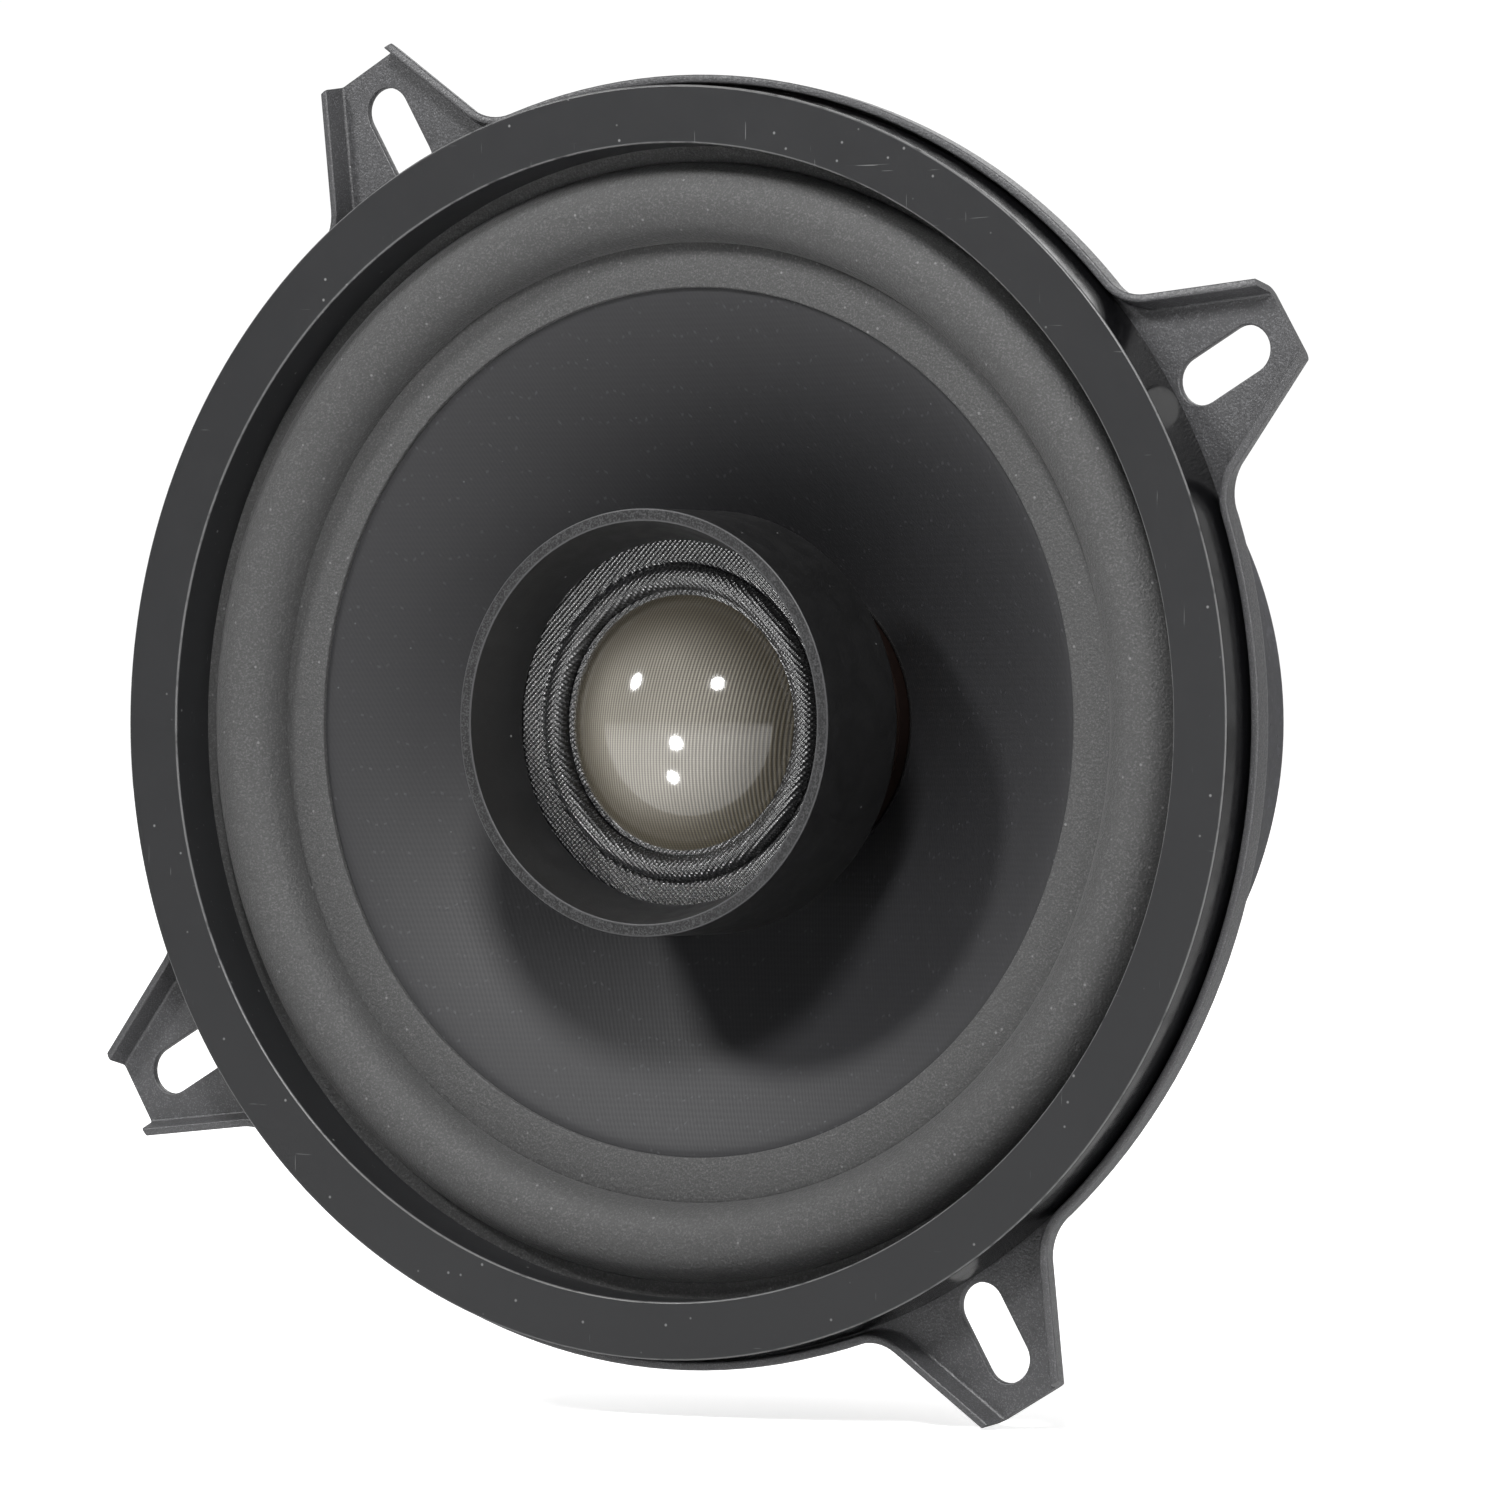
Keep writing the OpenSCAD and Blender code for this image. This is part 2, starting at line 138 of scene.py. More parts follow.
def colour(name, description, default):
    return bpy.props.FloatVectorProperty(
        name=name, description=description, default=default, size=3, min=0, max=1,
        subtype="COLOR",
    )


class SpeakerShape(bpy.types.PropertyGroup):
    """Sizes that the frame leaves open."""

    sheet: length("Sheet", "Thickness of the basket's steel sheet", 0.001)
    ear_tip: length("Ear tip", "Radius of the ears' tips", 0.0789)
    ear_tip_half: length("Ear tip half width", "Half the width of an ear at its tip", 0.0051)
    ear_side: bpy.props.FloatProperty(
        name="Ear side", description="Angle of an ear's sides to its centre line",
        default=math.radians(24.2), min=0.3, max=0.6, subtype="ANGLE", unit="ROTATION",
    )
    ear_turn: bpy.props.FloatProperty(
        name="First ear", description="Direction of the first ear, as seen from the front",
        default=math.radians(30), subtype="ANGLE", unit="ROTATION",
    )
    ear_fillet: length("Ear fillet", "Radius between an ear and the rim", 0.005)
    lip: length("Lip", "Height of the turned-up lip in front of the flange's rear", 0.0032)
    slot_middle: length("Slot middle", "Radius of the screw slots' middles", 0.07085)
    slot_width: length("Slot width", "Width of a screw slot", 0.0049)
    slot_length: length("Slot length", "End to end length of a screw slot", 0.0109)
    ring_bore: length("Ring bore", "Inner radius of the trim ring", 0.05905)
    edge: length("Edge round", "Radius of the trim ring's edges", 0.00025)
    roll: length("Roll", "Radius of the surround's half roll", 0.0041)
    roll_middle: length("Roll middle", "Radius of the middle of the surround's roll", 0.0533)
    rubber: length("Rubber", "Thickness of the surround", 0.0005)
    landing: length("Landing", "Inner radius of the surround's landing on the cone", 0.0446)
    cone_skin: length("Cone skin", "Thickness of the cone", 0.0005)
    dome_height: length("Dome height", "Height of the tweeter's dome", 0.006)


class SpeakerColours(bpy.types.PropertyGroup):
    """Base colours of the finishes."""

    coat: colour("Powder coat", "Basket", (0.038, 0.038, 0.040))
    ring: colour("Trim ring", "Satin face of the trim ring", (0.0165, 0.0168, 0.0178))
    rubber: colour("Rubber", "Surround", (0.038, 0.038, 0.038))
    cone: colour("Cone", "Woven cone", (0.0165, 0.0165, 0.018))
    cup: colour("Cup", "Tweeter cup", (0.0085, 0.0085, 0.0088))
    textile: colour("Tweeter textile", "Coated cloth around the dome", (0.0045, 0.0045, 0.0048))
    dome: colour("Dome", "Silk of the dome", (0.130, 0.120, 0.098))
    spider: colour("Spider", "Resin-treated cloth", (0.52, 0.33, 0.10))
    zinc: colour("Zinc", "Plated steel", (0.44, 0.44, 0.43))
    ferrite: colour("Ferrite", "Ring magnet", (0.030, 0.030, 0.034))
    brass: colour("Brass", "Post and positive terminal", (0.50, 0.38, 0.19))
    board: colour("Board", "Terminal board", (0.23, 0.11, 0.045))
    floor: colour("Floor", "Floor of the stage", (0.86, 0.86, 0.86))


# ---------------------------------------------------------------- mesh helpers


def arc(centre, radius, start, end, steps):
    """Points of an arc in the outline's plane, from one angle to another in degrees."""
    return [
        (
            centre[0] + radius * math.cos(math.radians(start + (end - start) * i / steps)),
            centre[1] + radius * math.sin(math.radians(start + (end - start) * i / steps)),
        )
        for i in range(steps + 1)
    ]


def rounded(corners, closed=True, steps=4):
    """An outline whose corners (radius, depth, fillet) are rounded by their fillets."""
    points = []
    count = len(corners)
    for i, (r, y, fillet) in enumerate(corners):
        here = Vector((r, y))
        if fillet <= 0 or (not closed and i in (0, count - 1)):
            points.append((r, y))
            continue
        before = (Vector(corners[i - 1][:2]) - here).normalized()
        after = (Vector(corners[(i + 1) % count][:2]) - here).normalized()
        half = before.angle(after) / 2
        reach = fillet / math.tan(half)
        middle = here + (before + after).normalized() * fillet / math.sin(half)
        first = here + before * reach - middle
        last = here + after * reach - middle
        turn = first.angle_signed(last)
        start = math.atan2(first.y, first.x)
        points += [
            (
                middle.x + fillet * math.cos(start - turn * k / steps),
                middle.y + fillet * math.sin(start - turn * k / steps),
            )
            for k in range(steps + 1)
        ]
    return points


def settle(bm, name, *materials, sharp=40.0):
    """Turns a bmesh in millimetres into a smooth-shaded object in metres."""
    bmesh.ops.remove_doubles(bm, verts=bm.verts, dist=0.0005)
    bmesh.ops.recalc_face_normals(bm, faces=bm.faces)
    bmesh.ops.scale(bm, vec=(MM, MM, MM), verts=bm.verts)
    mesh = bpy.data.meshes.new(name)
    bm.to_mesh(mesh)
    bm.free()
    mesh.shade_smooth()
    mesh.set_sharp_from_angle(angle=math.radians(sharp))
    piece = bpy.data.objects.new(name, mesh)
    bpy.context.scene.collection.objects.link(piece)
    for material in materials:
        mesh.materials.append(material)
    return piece


def weigh(piece):
    """Keeps flat faces flat beside their rounded edges."""
    modifier = piece.modifiers.new("flat faces", "WEIGHTED_NORMAL")
    modifier.keep_sharp = True
    modifier.weight = 80
    return piece


def place(piece, body, slot, *nodes):
    """The piece rides on a body and stands for its CAD nodes."""
    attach(piece, body)
    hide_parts(*nodes)
    return piece


def refinish(node, material):
    """Gives a CAD node a better material in its own slots."""
    for holder in frame["nodes"][node].material_slots:
        holder.material = material


def add_turned(bm, outline, closed=True, steps=180):
    """Spins an outline about the speaker's axis."""
    verts = [bm.verts.new((r, y, 0)) for r, y in outline]
    pairs = list(zip(verts, verts[1:] + verts[:1])) if closed else list(zip(verts, verts[1:]))
    edges = [bm.edges.new(pair) for pair in pairs]
    bmesh.ops.spin(
        bm, geom=verts + edges, cent=(0, 0, 0), axis=AXIS, angle=math.tau, steps=steps,
        use_merge=True,
    )


def turned(name, outline, *materials, closed=True, steps=180, sharp=40.0):
    bm = bmesh.new()
    add_turned(bm, outline, closed, steps)
    return settle(bm, name, *materials, sharp=sharp)


def ring_of(bm, points):
    """A closed loop of edges through points."""
    verts = [bm.verts.new(point) for point in points]
    return [bm.edges.new(pair) for pair in zip(verts, verts[1:] + verts[:1])]


def bridged(bm, rings):
    """Loops of edges through rings of points, each one bridged to the one before."""
    loops = []
    for points in rings:
        edges = ring_of(bm, points)
        if loops:
            bmesh.ops.bridge_loops(bm, edges=loops[-1] + edges)
        loops.append(edges)
    return loops


def plate(bm, loops, thickness):
    """A flat plate: an outline and its holes, filled and given a thickness vector."""
    edges = [edge for points in loops for edge in ring_of(bm, points)]
    faces = [
        g for g in bmesh.ops.triangle_fill(bm, use_beauty=True, edges=edges)["geom"]
        if isinstance(g, bmesh.types.BMFace)
    ]
    made = bmesh.ops.extrude_face_region(bm, geom=faces)["geom"]
    moved = [g for g in made if isinstance(g, bmesh.types.BMVert)]
    bmesh.ops.translate(bm, vec=Vector(thickness), verts=moved)


def rod(bm, start, end, radius, segments=24):
    """A closed cylinder between two points."""
    start, end = Vector(start), Vector(end)
    along = end - start
    turn = along.to_track_quat("Z", "Y").to_matrix().to_4x4()
    bmesh.ops.create_cone(
        bm, cap_ends=True, segments=segments, radius1=radius, radius2=radius,
        depth=along.length, matrix=Matrix.Translation((start + end) / 2) @ turn,
    )


# ---------------------------------------------------------------- material helpers


def new_finish(name, base, roughness, **sockets):
    """A material whose shader's own sockets hold what is the same all over."""
    material = bpy.data.materials.new(name)
    material.use_nodes = True
    tree = material.node_tree
    shader = tree.nodes["Principled BSDF"]
    shader.inputs["Base Color"].default_value = (*base, 1)
    shader.inputs["Roughness"].default_value = roughness
    for socket, value in sockets.items():
        shader.inputs[socket.replace("_", " ")].default_value = value
    return material, tree, shader


def add(tree, kind, inputs=None, **settings):
    """A shader node with its settings, and its inputs linked or set."""
    node = tree.nodes.new("ShaderNode" + kind)
    for name, value in settings.items():
        setattr(node, name, value)
    for key, value in (inputs or {}).items():
        if isinstance(value, bpy.types.NodeSocket):
            tree.links.new(value, node.inputs[key])
        else:
            node.inputs[key].default_value = value
    return node


def place_of(tree, scale=(1, 1, 1), turn=(0, 0, 0)):
    """Object coordinates in millimetres, scaled and turned."""
    coords = add(tree, "TexCoord")
    mapping = add(
        tree, "Mapping",
        {"Vector": coords.outputs["Object"], "Scale": [s / MM for s in scale], "Rotation": turn},
    )
    return mapping.outputs[0]


def noise(tree, spot, scale, detail=2.0, roughness=0.5):
    return add(
        tree, "TexNoise",
        {"Vector": spot, "Scale": scale, "Detail": detail, "Roughness": roughness},
    ).outputs["Fac"]


def grains(tree, spot, scale, feature="F1"):
    return add(
        tree, "TexVoronoi", {"Vector": spot, "Scale": scale}, feature=feature,
    ).outputs["Distance"]


def math_of(tree, operation, a, b=0.5, c=0.5):
    return add(tree, "Math", {0: a, 1: b, 2: c}, operation=operation).outputs[0]


def step_of(tree, value, low, high, to_low=0.0, to_high=1.0):
    """Maps a value smoothly from one range to another."""
    return add(
        tree, "MapRange",
        {"Value": value, "From Min": low, "From Max": high, "To Min": to_low, "To Max": to_high},
        interpolation_type="SMOOTHSTEP",
    ).outputs[0]


def blend_of(tree, factor, a, b):
    """Mixes two colours by a factor."""
    node = add(tree, "Mix", data_type="RGBA")
    for key, value in ((0, factor), (6, a), (7, b)):
        if isinstance(value, bpy.types.NodeSocket):
            tree.links.new(value, node.inputs[key])
        else:
            node.inputs[key].default_value = value if key == 0 else (*value, 1)
    return node.outputs[2]


def radius_of(tree, spot):
    """Distance from the speaker's axis, and the three coordinates, in their own unit."""
    parts = add(tree, "SeparateXYZ", {0: spot}).outputs
    flat = add(tree, "CombineXYZ", {0: parts[0], 1: parts[2]}).outputs[0]
    return add(tree, "VectorMath", {0: flat}, operation="LENGTH").outputs["Value"], parts


def bump(tree, shader, height, distance, socket="Normal"):
    """Raises the surface by a height from 0 to 1 times a distance in millimetres."""
    normal = add(tree, "Bump", {"Height": height, "Distance": distance * MM}).outputs[0]
    tree.links.new(normal, shader.inputs[socket])


def tint(tree, shader, socket, value):
    tree.links.new(value, shader.inputs[socket])


def lighter(base, factor):
    return tuple(min(1.0, c * factor) for c in base)


# ---------------------------------------------------------------- finishes


def powder_coat(base):
    """Black powder coat: a fine pebbled skin that sparkles."""
    material, tree, shader = new_finish("powder_coat", base, 0.42, Specular_IOR_Level=0.7)
    spot = place_of(tree)
    pebbles = grains(tree, spot, 4.2, "SMOOTH_F1")
    lumps = noise(tree, spot, 3.6, 3)
    height = math_of(tree, "MULTIPLY_ADD", pebbles, -0.9, lumps)
    bump(tree, shader, height, 0.04)
    fleck = step_of(tree, noise(tree, spot, 7.5, 1), 0.52, 0.70)
    tint(tree, shader, "Base Color", blend_of(tree, fleck, base, lighter(base, 2.4)))
    tint(tree, shader, "Roughness", step_of(tree, lumps, 0.3, 0.7, 0.40, 0.54))
    return material


def ring_satin(base, outer, inner, front, edge_width=0.22):
    """Moulded satin face: hairline scratches, dust and worn bright edges."""
    material, tree, shader = new_finish("ring_satin", base, 0.36, Specular_IOR_Level=0.42)
    spot = place_of(tree)
    radius, (_, y, _) = radius_of(tree, spot)
    breakup = noise(tree, spot, 0.6, 3)
    out_dist = math_of(tree, "SUBTRACT", outer, radius)
    in_dist = math_of(tree, "SUBTRACT", radius, inner)
    near = math_of(tree, "MINIMUM", out_dist, in_dist)
    wear = step_of(tree, near, edge_width, edge_width * 0.4)
    wear = math_of(tree, "MULTIPLY", wear, step_of(tree, breakup, 0.2, 0.5))
    wear = math_of(tree, "MULTIPLY", wear, step_of(tree, y, front + 0.3, front + 0.12))
    long_way = place_of(tree, (3.0, 3.0, 0.12), (0, math.radians(24), 0))
    scratch = step_of(tree, noise(tree, long_way, 1.4, 2), 0.735, 0.76)
    cross_way = place_of(tree, (0.10, 2.0, 2.6), (0, math.radians(-14), 0))
    scratch_b = step_of(tree, noise(tree, cross_way, 1.2, 2), 0.745, 0.77)
    dust = step_of(tree, grains(tree, spot, 0.42), 0.085, 0.03)
    marks = math_of(tree, "MAXIMUM", scratch, scratch_b)
    marks = math_of(tree, "MULTIPLY", marks, 0.25)
    marks = math_of(tree, "MAXIMUM", marks, math_of(tree, "MULTIPLY", dust, 0.4))
    marks = math_of(tree, "MAXIMUM", marks, math_of(tree, "MULTIPLY", wear, 0.28))
    mottle = step_of(tree, noise(tree, spot, 0.05, 3), 0.2, 0.8)
    ground = blend_of(tree, mottle, lighter(base, 0.95), lighter(base, 1.06))
    tint(tree, shader, "Base Color", blend_of(tree, marks, ground, (0.34, 0.34, 0.34)))
    haze = step_of(tree, noise(tree, spot, 0.35, 4), 0.3, 0.7, 0.355, 0.375)
    tint(tree, shader, "Roughness", haze)
    bump(tree, shader, noise(tree, spot, 7.0, 2), 0.006)
    return material


def ring_gloss():
    """The ring's polished outer wall."""
    material, tree, shader = new_finish(
        "ring_gloss", (0.004, 0.004, 0.0045), 0.16, Specular_IOR_Level=0.35,
    )
    spot = place_of(tree)
    smear = noise(tree, spot, 0.5, 3)
    tint(tree, shader, "Roughness", step_of(tree, smear, 0.35, 0.75, 0.13, 0.26))
    bump(tree, shader, noise(tree, spot, 0.25, 1), 0.012)
    return material


def surround_rubber(base):
    """Butyl rubber with a fine moulded grain and a little bloom."""
    material, tree, shader = new_finish(
        "surround_rubber", base, 0.62, Specular_IOR_Level=0.5, Sheen_Weight=0.08,
        Sheen_Roughness=0.5,
    )
    spot = place_of(tree)
    grain = noise(tree, spot, 3.0, 3, 0.6)
    bump(tree, shader, grain, 0.15)
    fleck = step_of(tree, noise(tree, spot, 4.8, 1), 0.48, 0.72)
    dust = step_of(tree, grains(tree, spot, 0.5), 0.10, 0.04)
    light = math_of(tree, "MAXIMUM", math_of(tree, "MULTIPLY", fleck, 0.36), dust)
    tint(tree, shader, "Base Color", blend_of(tree, light, base, lighter(base, 3.5)))
    tint(tree, shader, "Roughness", step_of(tree, grain, 0.3, 0.7, 0.54, 0.70))
    return material


def cone_weave(base, warp=0.42, row=2.8):
    """Glossed twill: fine ribs with rows of brighter floats."""
    material, tree, shader = new_finish("cone_weave", base, 0.58, Specular_IOR_Level=0.42)
    spot = place_of(tree)
    _, (x, _, z) = radius_of(tree, spot)
    ribs = math_of(tree, "MULTIPLY_ADD", z, 0.45, x)
    rib = math_of(tree, "SINE", math_of(tree, "MULTIPLY", ribs, math.tau / warp))
    cross = math_of(tree, "SINE", math_of(tree, "MULTIPLY", z, math.tau / (warp * 1.5)))
    weave = math_of(tree, "MULTIPLY_ADD", rib, 0.6, math_of(tree, "MULTIPLY", cross, 0.4))
    scallop = math_of(tree, "SINE", math_of(tree, "MULTIPLY", x, math.tau / (row * 1.3)))
    lift = math_of(tree, "MULTIPLY_ADD", scallop, 0.35, z)
    wander = math_of(tree, "MULTIPLY_ADD", noise(tree, spot, 0.22, 2), 1.6, lift)
    phase = math_of(tree, "FRACT", math_of(tree, "DIVIDE", wander, row))
    off_row = math_of(tree, "ABSOLUTE", math_of(tree, "SUBTRACT", phase, 0.5))
    line = step_of(tree, off_row, 0.07, 0.02)
    dash = math_of(tree, "SINE", math_of(tree, "MULTIPLY", x, math.tau / (warp * 2)))
    dash = step_of(tree, dash, 0.1, 0.8)
    broken = step_of(tree, noise(tree, spot, 0.55, 2), 0.46, 0.62)
    floats = math_of(tree, "MULTIPLY", math_of(tree, "MULTIPLY", line, dash), broken)
    height = math_of(tree, "MULTIPLY_ADD", floats, 1.4, math_of(tree, "MULTIPLY", weave, 0.5))
    bump(tree, shader, height, 0.010)
    dust = step_of(tree, grains(tree, spot, 0.35), 0.05, 0.02)
    light = math_of(tree, "MAXIMUM", math_of(tree, "MULTIPLY", floats, 0.35), dust)
    tint(tree, shader, "Base Color", blend_of(tree, light, base, lighter(base, 4.0)))
    sheen = step_of(tree, weave, -0.8, 0.8, 0.63, 0.53)
    tint(tree, shader, "Roughness", sheen)
    return material


def cup_plastic(base, name="cup_plastic", roughness=0.5):
    """Matte moulded plastic with a fine spark texture."""
    material, tree, shader = new_finish(name, base, roughness, Specular_IOR_Level=0.5)
    spot = place_of(tree)
    spark = noise(tree, spot, 5.0, 2)
    bump(tree, shader, spark, 0.022)
    dust = step_of(tree, grains(tree, spot, 0.33), 0.055, 0.02)
    tint(tree, shader, "Base Color", blend_of(tree, dust, base, (0.22, 0.22, 0.22)))
    rub = noise(tree, spot, 0.4, 4)
    worn = step_of(tree, rub, 0.3, 0.7, roughness - 0.06, roughness + 0.06)
    tint(tree, shader, "Roughness", worn)
    return material


def lip_plastic(base, inner, outer):
    """The cup's faced-off lip: fine concentric turning marks."""
    material, tree, shader = new_finish("lip_plastic", base, 0.46, Specular_IOR_Level=0.45)
    spot = place_of(tree)
    radius, _ = radius_of(tree, spot)
    lines = noise(tree, add(tree, "CombineXYZ", {0: radius}).outputs[0], 9.0, 2)
    grit = noise(tree, spot, 6.0, 2)
    bump(tree, shader, math_of(tree, "ADD", lines, grit), 0.012)
    out_dist = math_of(tree, "SUBTRACT", outer, radius)
    in_dist = math_of(tree, "SUBTRACT", radius, inner)
    # Lighter along the lip's inner and outer edges.
    lighter_edges = step_of(tree, math_of(tree, "MINIMUM", out_dist, in_dist), 0.24, 0.10)
    pale = math_of(tree, "MAXIMUM", step_of(tree, grit, 0.40, 0.70), lighter_edges)
    tint(tree, shader, "Base Color", blend_of(tree, pale, lighter(base, 0.8), lighter(base, 6.0)))
    return material


def coated_textile(base, pitch=0.58):
    """Black coated cloth: a plain weave whose crowns are glossier and lightened in colour as painted glints.
    """
    material, tree, shader = new_finish("coated_textile", base, 0.22, Specular_IOR_Level=0.6)
    spot = place_of(tree)
    _, (x, _, z) = radius_of(tree, spot)
    warp = math_of(tree, "SINE", math_of(tree, "MULTIPLY", x, math.tau / pitch))
    weft = math_of(tree, "SINE", math_of(tree, "MULTIPLY", z, math.tau / pitch))
    crowns = math_of(tree, "MULTIPLY", warp, weft)
    uneven = noise(tree, spot, 1.6, 2)
    height = math_of(tree, "MULTIPLY_ADD", uneven, 0.4, crowns)
    bump(tree, shader, height, 0.055)
    top = step_of(tree, crowns, 0.45, 0.95)
    # Painted highlight: the crown tops, broken up by noise, are lightened in the base colour as glints.
    painted_glint = math_of(tree, "MULTIPLY", top, step_of(tree, uneven, 0.42, 0.62))
    tint(tree, shader, "Base Color", blend_of(tree, painted_glint, base, lighter(base, 4.5)))
    tint(tree, shader, "Roughness", step_of(tree, crowns, -0.3, 0.9, 0.34, 0.14))
    return material


def dome_silk(base, pitch=0.36):
    """Fine silk twill under a clear coat, with painted shade darkening it towards the rim."""
    material, tree, shader = new_finish(
        "dome_silk", base, 0.55, Coat_Weight=1.0, Coat_Roughness=0.085, Coat_IOR=1.5,
        Specular_IOR_Level=0.4,
    )
    spot = place_of(tree)
    radius, (x, _, z) = radius_of(tree, spot)
    lean = math_of(tree, "MULTIPLY_ADD", z, -0.13, x)
    rib = math_of(tree, "SINE", math_of(tree, "MULTIPLY", lean, math.tau / pitch))
    stitch = math_of(tree, "SINE", math_of(tree, "MULTIPLY", z, math.tau / (pitch * 0.62)))
    twill = math_of(tree, "MULTIPLY_ADD", stitch, 0.35, rib)
    shade = step_of(tree, twill, -1.1, 1.1)
    cloud = step_of(tree, noise(tree, spot, 0.12, 2), 0.3, 0.7)
    thread = blend_of(tree, cloud, lighter(base, 0.92), lighter(base, 1.10))
    gap = (base[0] * 0.30, base[1] * 0.28, base[2] * 0.26)
    # Painted shade: a much darker copy of the cloth, blended in towards the dome's rim.
    painted_rim_shade = blend_of(
        tree, shade, (gap[0] * 0.35, gap[1] * 0.33, gap[2] * 0.28),
        (base[0] * 0.34, base[1] * 0.31, base[2] * 0.24),
    )
    # Mask of the painted shade, rising from 6 mm out to the rim.
    edge = step_of(tree, radius, 6.0, 12.4)
    cloth = blend_of(tree, shade, gap, thread)
    tint(tree, shader, "Base Color", blend_of(tree, edge, cloth, painted_rim_shade))
    bump(tree, shader, twill, 0.02)
    drops = noise(tree, spot, 1.1, 2)
    bump(tree, shader, drops, 0.004, "Coat Normal")
    return material


def spider_cloth(base, pitch=0.8):
    """Open woven cloth stiffened with resin."""
    material, tree, shader = new_finish("spider_cloth", base, 0.62)
    spot = place_of(tree)
    _, (x, _, z) = radius_of(tree, spot)
    warp = math_of(tree, "SINE", math_of(tree, "MULTIPLY", x, math.tau / pitch))
    weft = math_of(tree, "SINE", math_of(tree, "MULTIPLY", z, math.tau / pitch))
    crowns = math_of(tree, "MAXIMUM", warp, weft)
    bump(tree, shader, crowns, 0.07)
    tint(
        tree, shader, "Base Color",
        blend_of(tree, step_of(tree, crowns, 0.0, 1.0), lighter(base, 0.45), base),
    )
    return material


def plated_steel(base, name="plated_steel", roughness=0.30):
    """Zinc plate over turned steel."""
    material, tree, shader = new_finish(name, base, roughness, Metallic=1.0)
    spot = place_of(tree)
    radius, _ = radius_of(tree, spot)
    lines = noise(tree, add(tree, "CombineXYZ", {0: radius}).outputs[0], 3.0, 3)
    cloud = noise(tree, spot, 0.12, 4)
    bump(tree, shader, lines, 0.012)
    haze = step_of(tree, cloud, 0.3, 0.7, roughness - 0.07, roughness + 0.12)
    tint(tree, shader, "Roughness", haze)
    warm = (base[0] * 0.93, base[1] * 0.90, base[2] * 0.83)
    tint(tree, shader, "Base Color", blend_of(tree, step_of(tree, cloud, 0.4, 0.7), base, warm))
    return material


def small_metal(name, base, roughness=0.28, tarnish=0.75):
    """Plain drawn or stamped metal with a little tarnish."""
    material, tree, shader = new_finish(name, base, roughness, Metallic=1.0)
    spot = place_of(tree)
    cloud = noise(tree, spot, 0.7, 4)
    haze = step_of(tree, cloud, 0.3, 0.7, roughness - 0.06, roughness + 0.14)
    tint(tree, shader, "Roughness", haze)
    tint(
        tree, shader, "Base Color",
        blend_of(tree, step_of(tree, cloud, 0.45, 0.75), base, lighter(base, tarnish)),
    )
    bump(tree, shader, noise(tree, spot, 3.0, 3), 0.006)
    return material


def ferrite(base):
    """Sintered ferrite, ground on its flat faces, with pits and pale chips."""
    material, tree, shader = new_finish("ferrite", base, 0.5, Specular_IOR_Level=0.55)
    spot = place_of(tree)
    body = noise(tree, spot, 0.9, 5, 0.65)
    pits = step_of(tree, grains(tree, spot, 0.9), 0.16, 0.05)
    bump(tree, shader, math_of(tree, "SUBTRACT", body, pits), 0.05)
    tint(
        tree, shader, "Base Color",
        blend_of(tree, step_of(tree, body, 0.45, 0.75), base, lighter(base, 2.2)),
    )
    tint(tree, shader, "Roughness", step_of(tree, body, 0.3, 0.7, 0.42, 0.62))
    return material


def fibre_board(base):
    """Phenolic board with paper fibres."""
    material, tree, shader = new_finish("fibre_board", base, 0.42, Specular_IOR_Level=0.5)
    spot = place_of(tree, (0.5, 3.0, 3.0))
    fibres = noise(tree, spot, 1.6, 4, 0.6)
    tint(
        tree, shader, "Base Color",
        blend_of(tree, step_of(tree, fibres, 0.35, 0.7), lighter(base, 0.7), lighter(base, 1.35)),
    )
    bump(tree, shader, fibres, 0.012)
    return material


def sleeve_plastic():
    """Shrunk plastic sleeve of the capacitor."""
    material, tree, shader = new_finish(
        "sleeve_plastic", (0.006, 0.010, 0.055), 0.22, Specular_IOR_Level=0.55,
    )
    spot = place_of(tree)
    waves = noise(tree, spot, 0.35, 2)
    bump(tree, shader, waves, 0.03)
    tint(tree, shader, "Roughness", step_of(tree, waves, 0.3, 0.7, 0.18, 0.30))
    return material


def wire_insulation(name, base):
    material, tree, shader = new_finish(name, base, 0.35, Specular_IOR_Level=0.5)
    spot = place_of(tree)
    scuff = noise(tree, spot, 1.1, 3)
    tint(tree, shader, "Roughness", step_of(tree, scuff, 0.3, 0.7, 0.28, 0.46))
    tint(
        tree, shader, "Base Color",
        blend_of(tree, step_of(tree, scuff, 0.5, 0.8), base, lighter(base, 0.6)),
    )
    return material


def winding(base, pitch=0.22):
    """Lacquered copper wire wound in close turns along the axis."""
    material, tree, shader = new_finish("winding", base, 0.25, Metallic=1.0)
    spot = place_of(tree)
    _, (_, y, _) = radius_of(tree, spot)
    turns = math_of(tree, "SINE", math_of(tree, "MULTIPLY", y, math.tau / pitch))
    bump(tree, shader, turns, 0.05)
    crown = step_of(tree, turns, -1, 0.6)
    tint(tree, shader, "Base Color", blend_of(tree, crown, lighter(base, 0.35), base))
    return material


def film(base):
    """Film of the coil formers, in a brown darkened to near black: partly its own colour, partly painted
    shade.
    """
    material, tree, shader = new_finish("film", base, 0.45, Specular_IOR_Level=0.3)
    spot = place_of(tree, (1, 0.2, 1))
    streaks = noise(tree, spot, 0.9, 3)
    drawn = blend_of(tree, streaks, lighter(base, 0.8), lighter(base, 1.2))
    tint(tree, shader, "Base Color", drawn)
    bump(tree, shader, streaks, 0.01)
    return material


def felt(base):
    material, tree, shader = new_finish("felt", base, 0.9, Sheen_Weight=0.4)
    spot = place_of(tree)
    fluff = noise(tree, spot, 2.4, 5, 0.7)
    bump(tree, shader, fluff, 0.25)
    tint(tree, shader, "Base Color", blend_of(tree, fluff, lighter(base, 0.6), lighter(base, 1.4)))
    return material


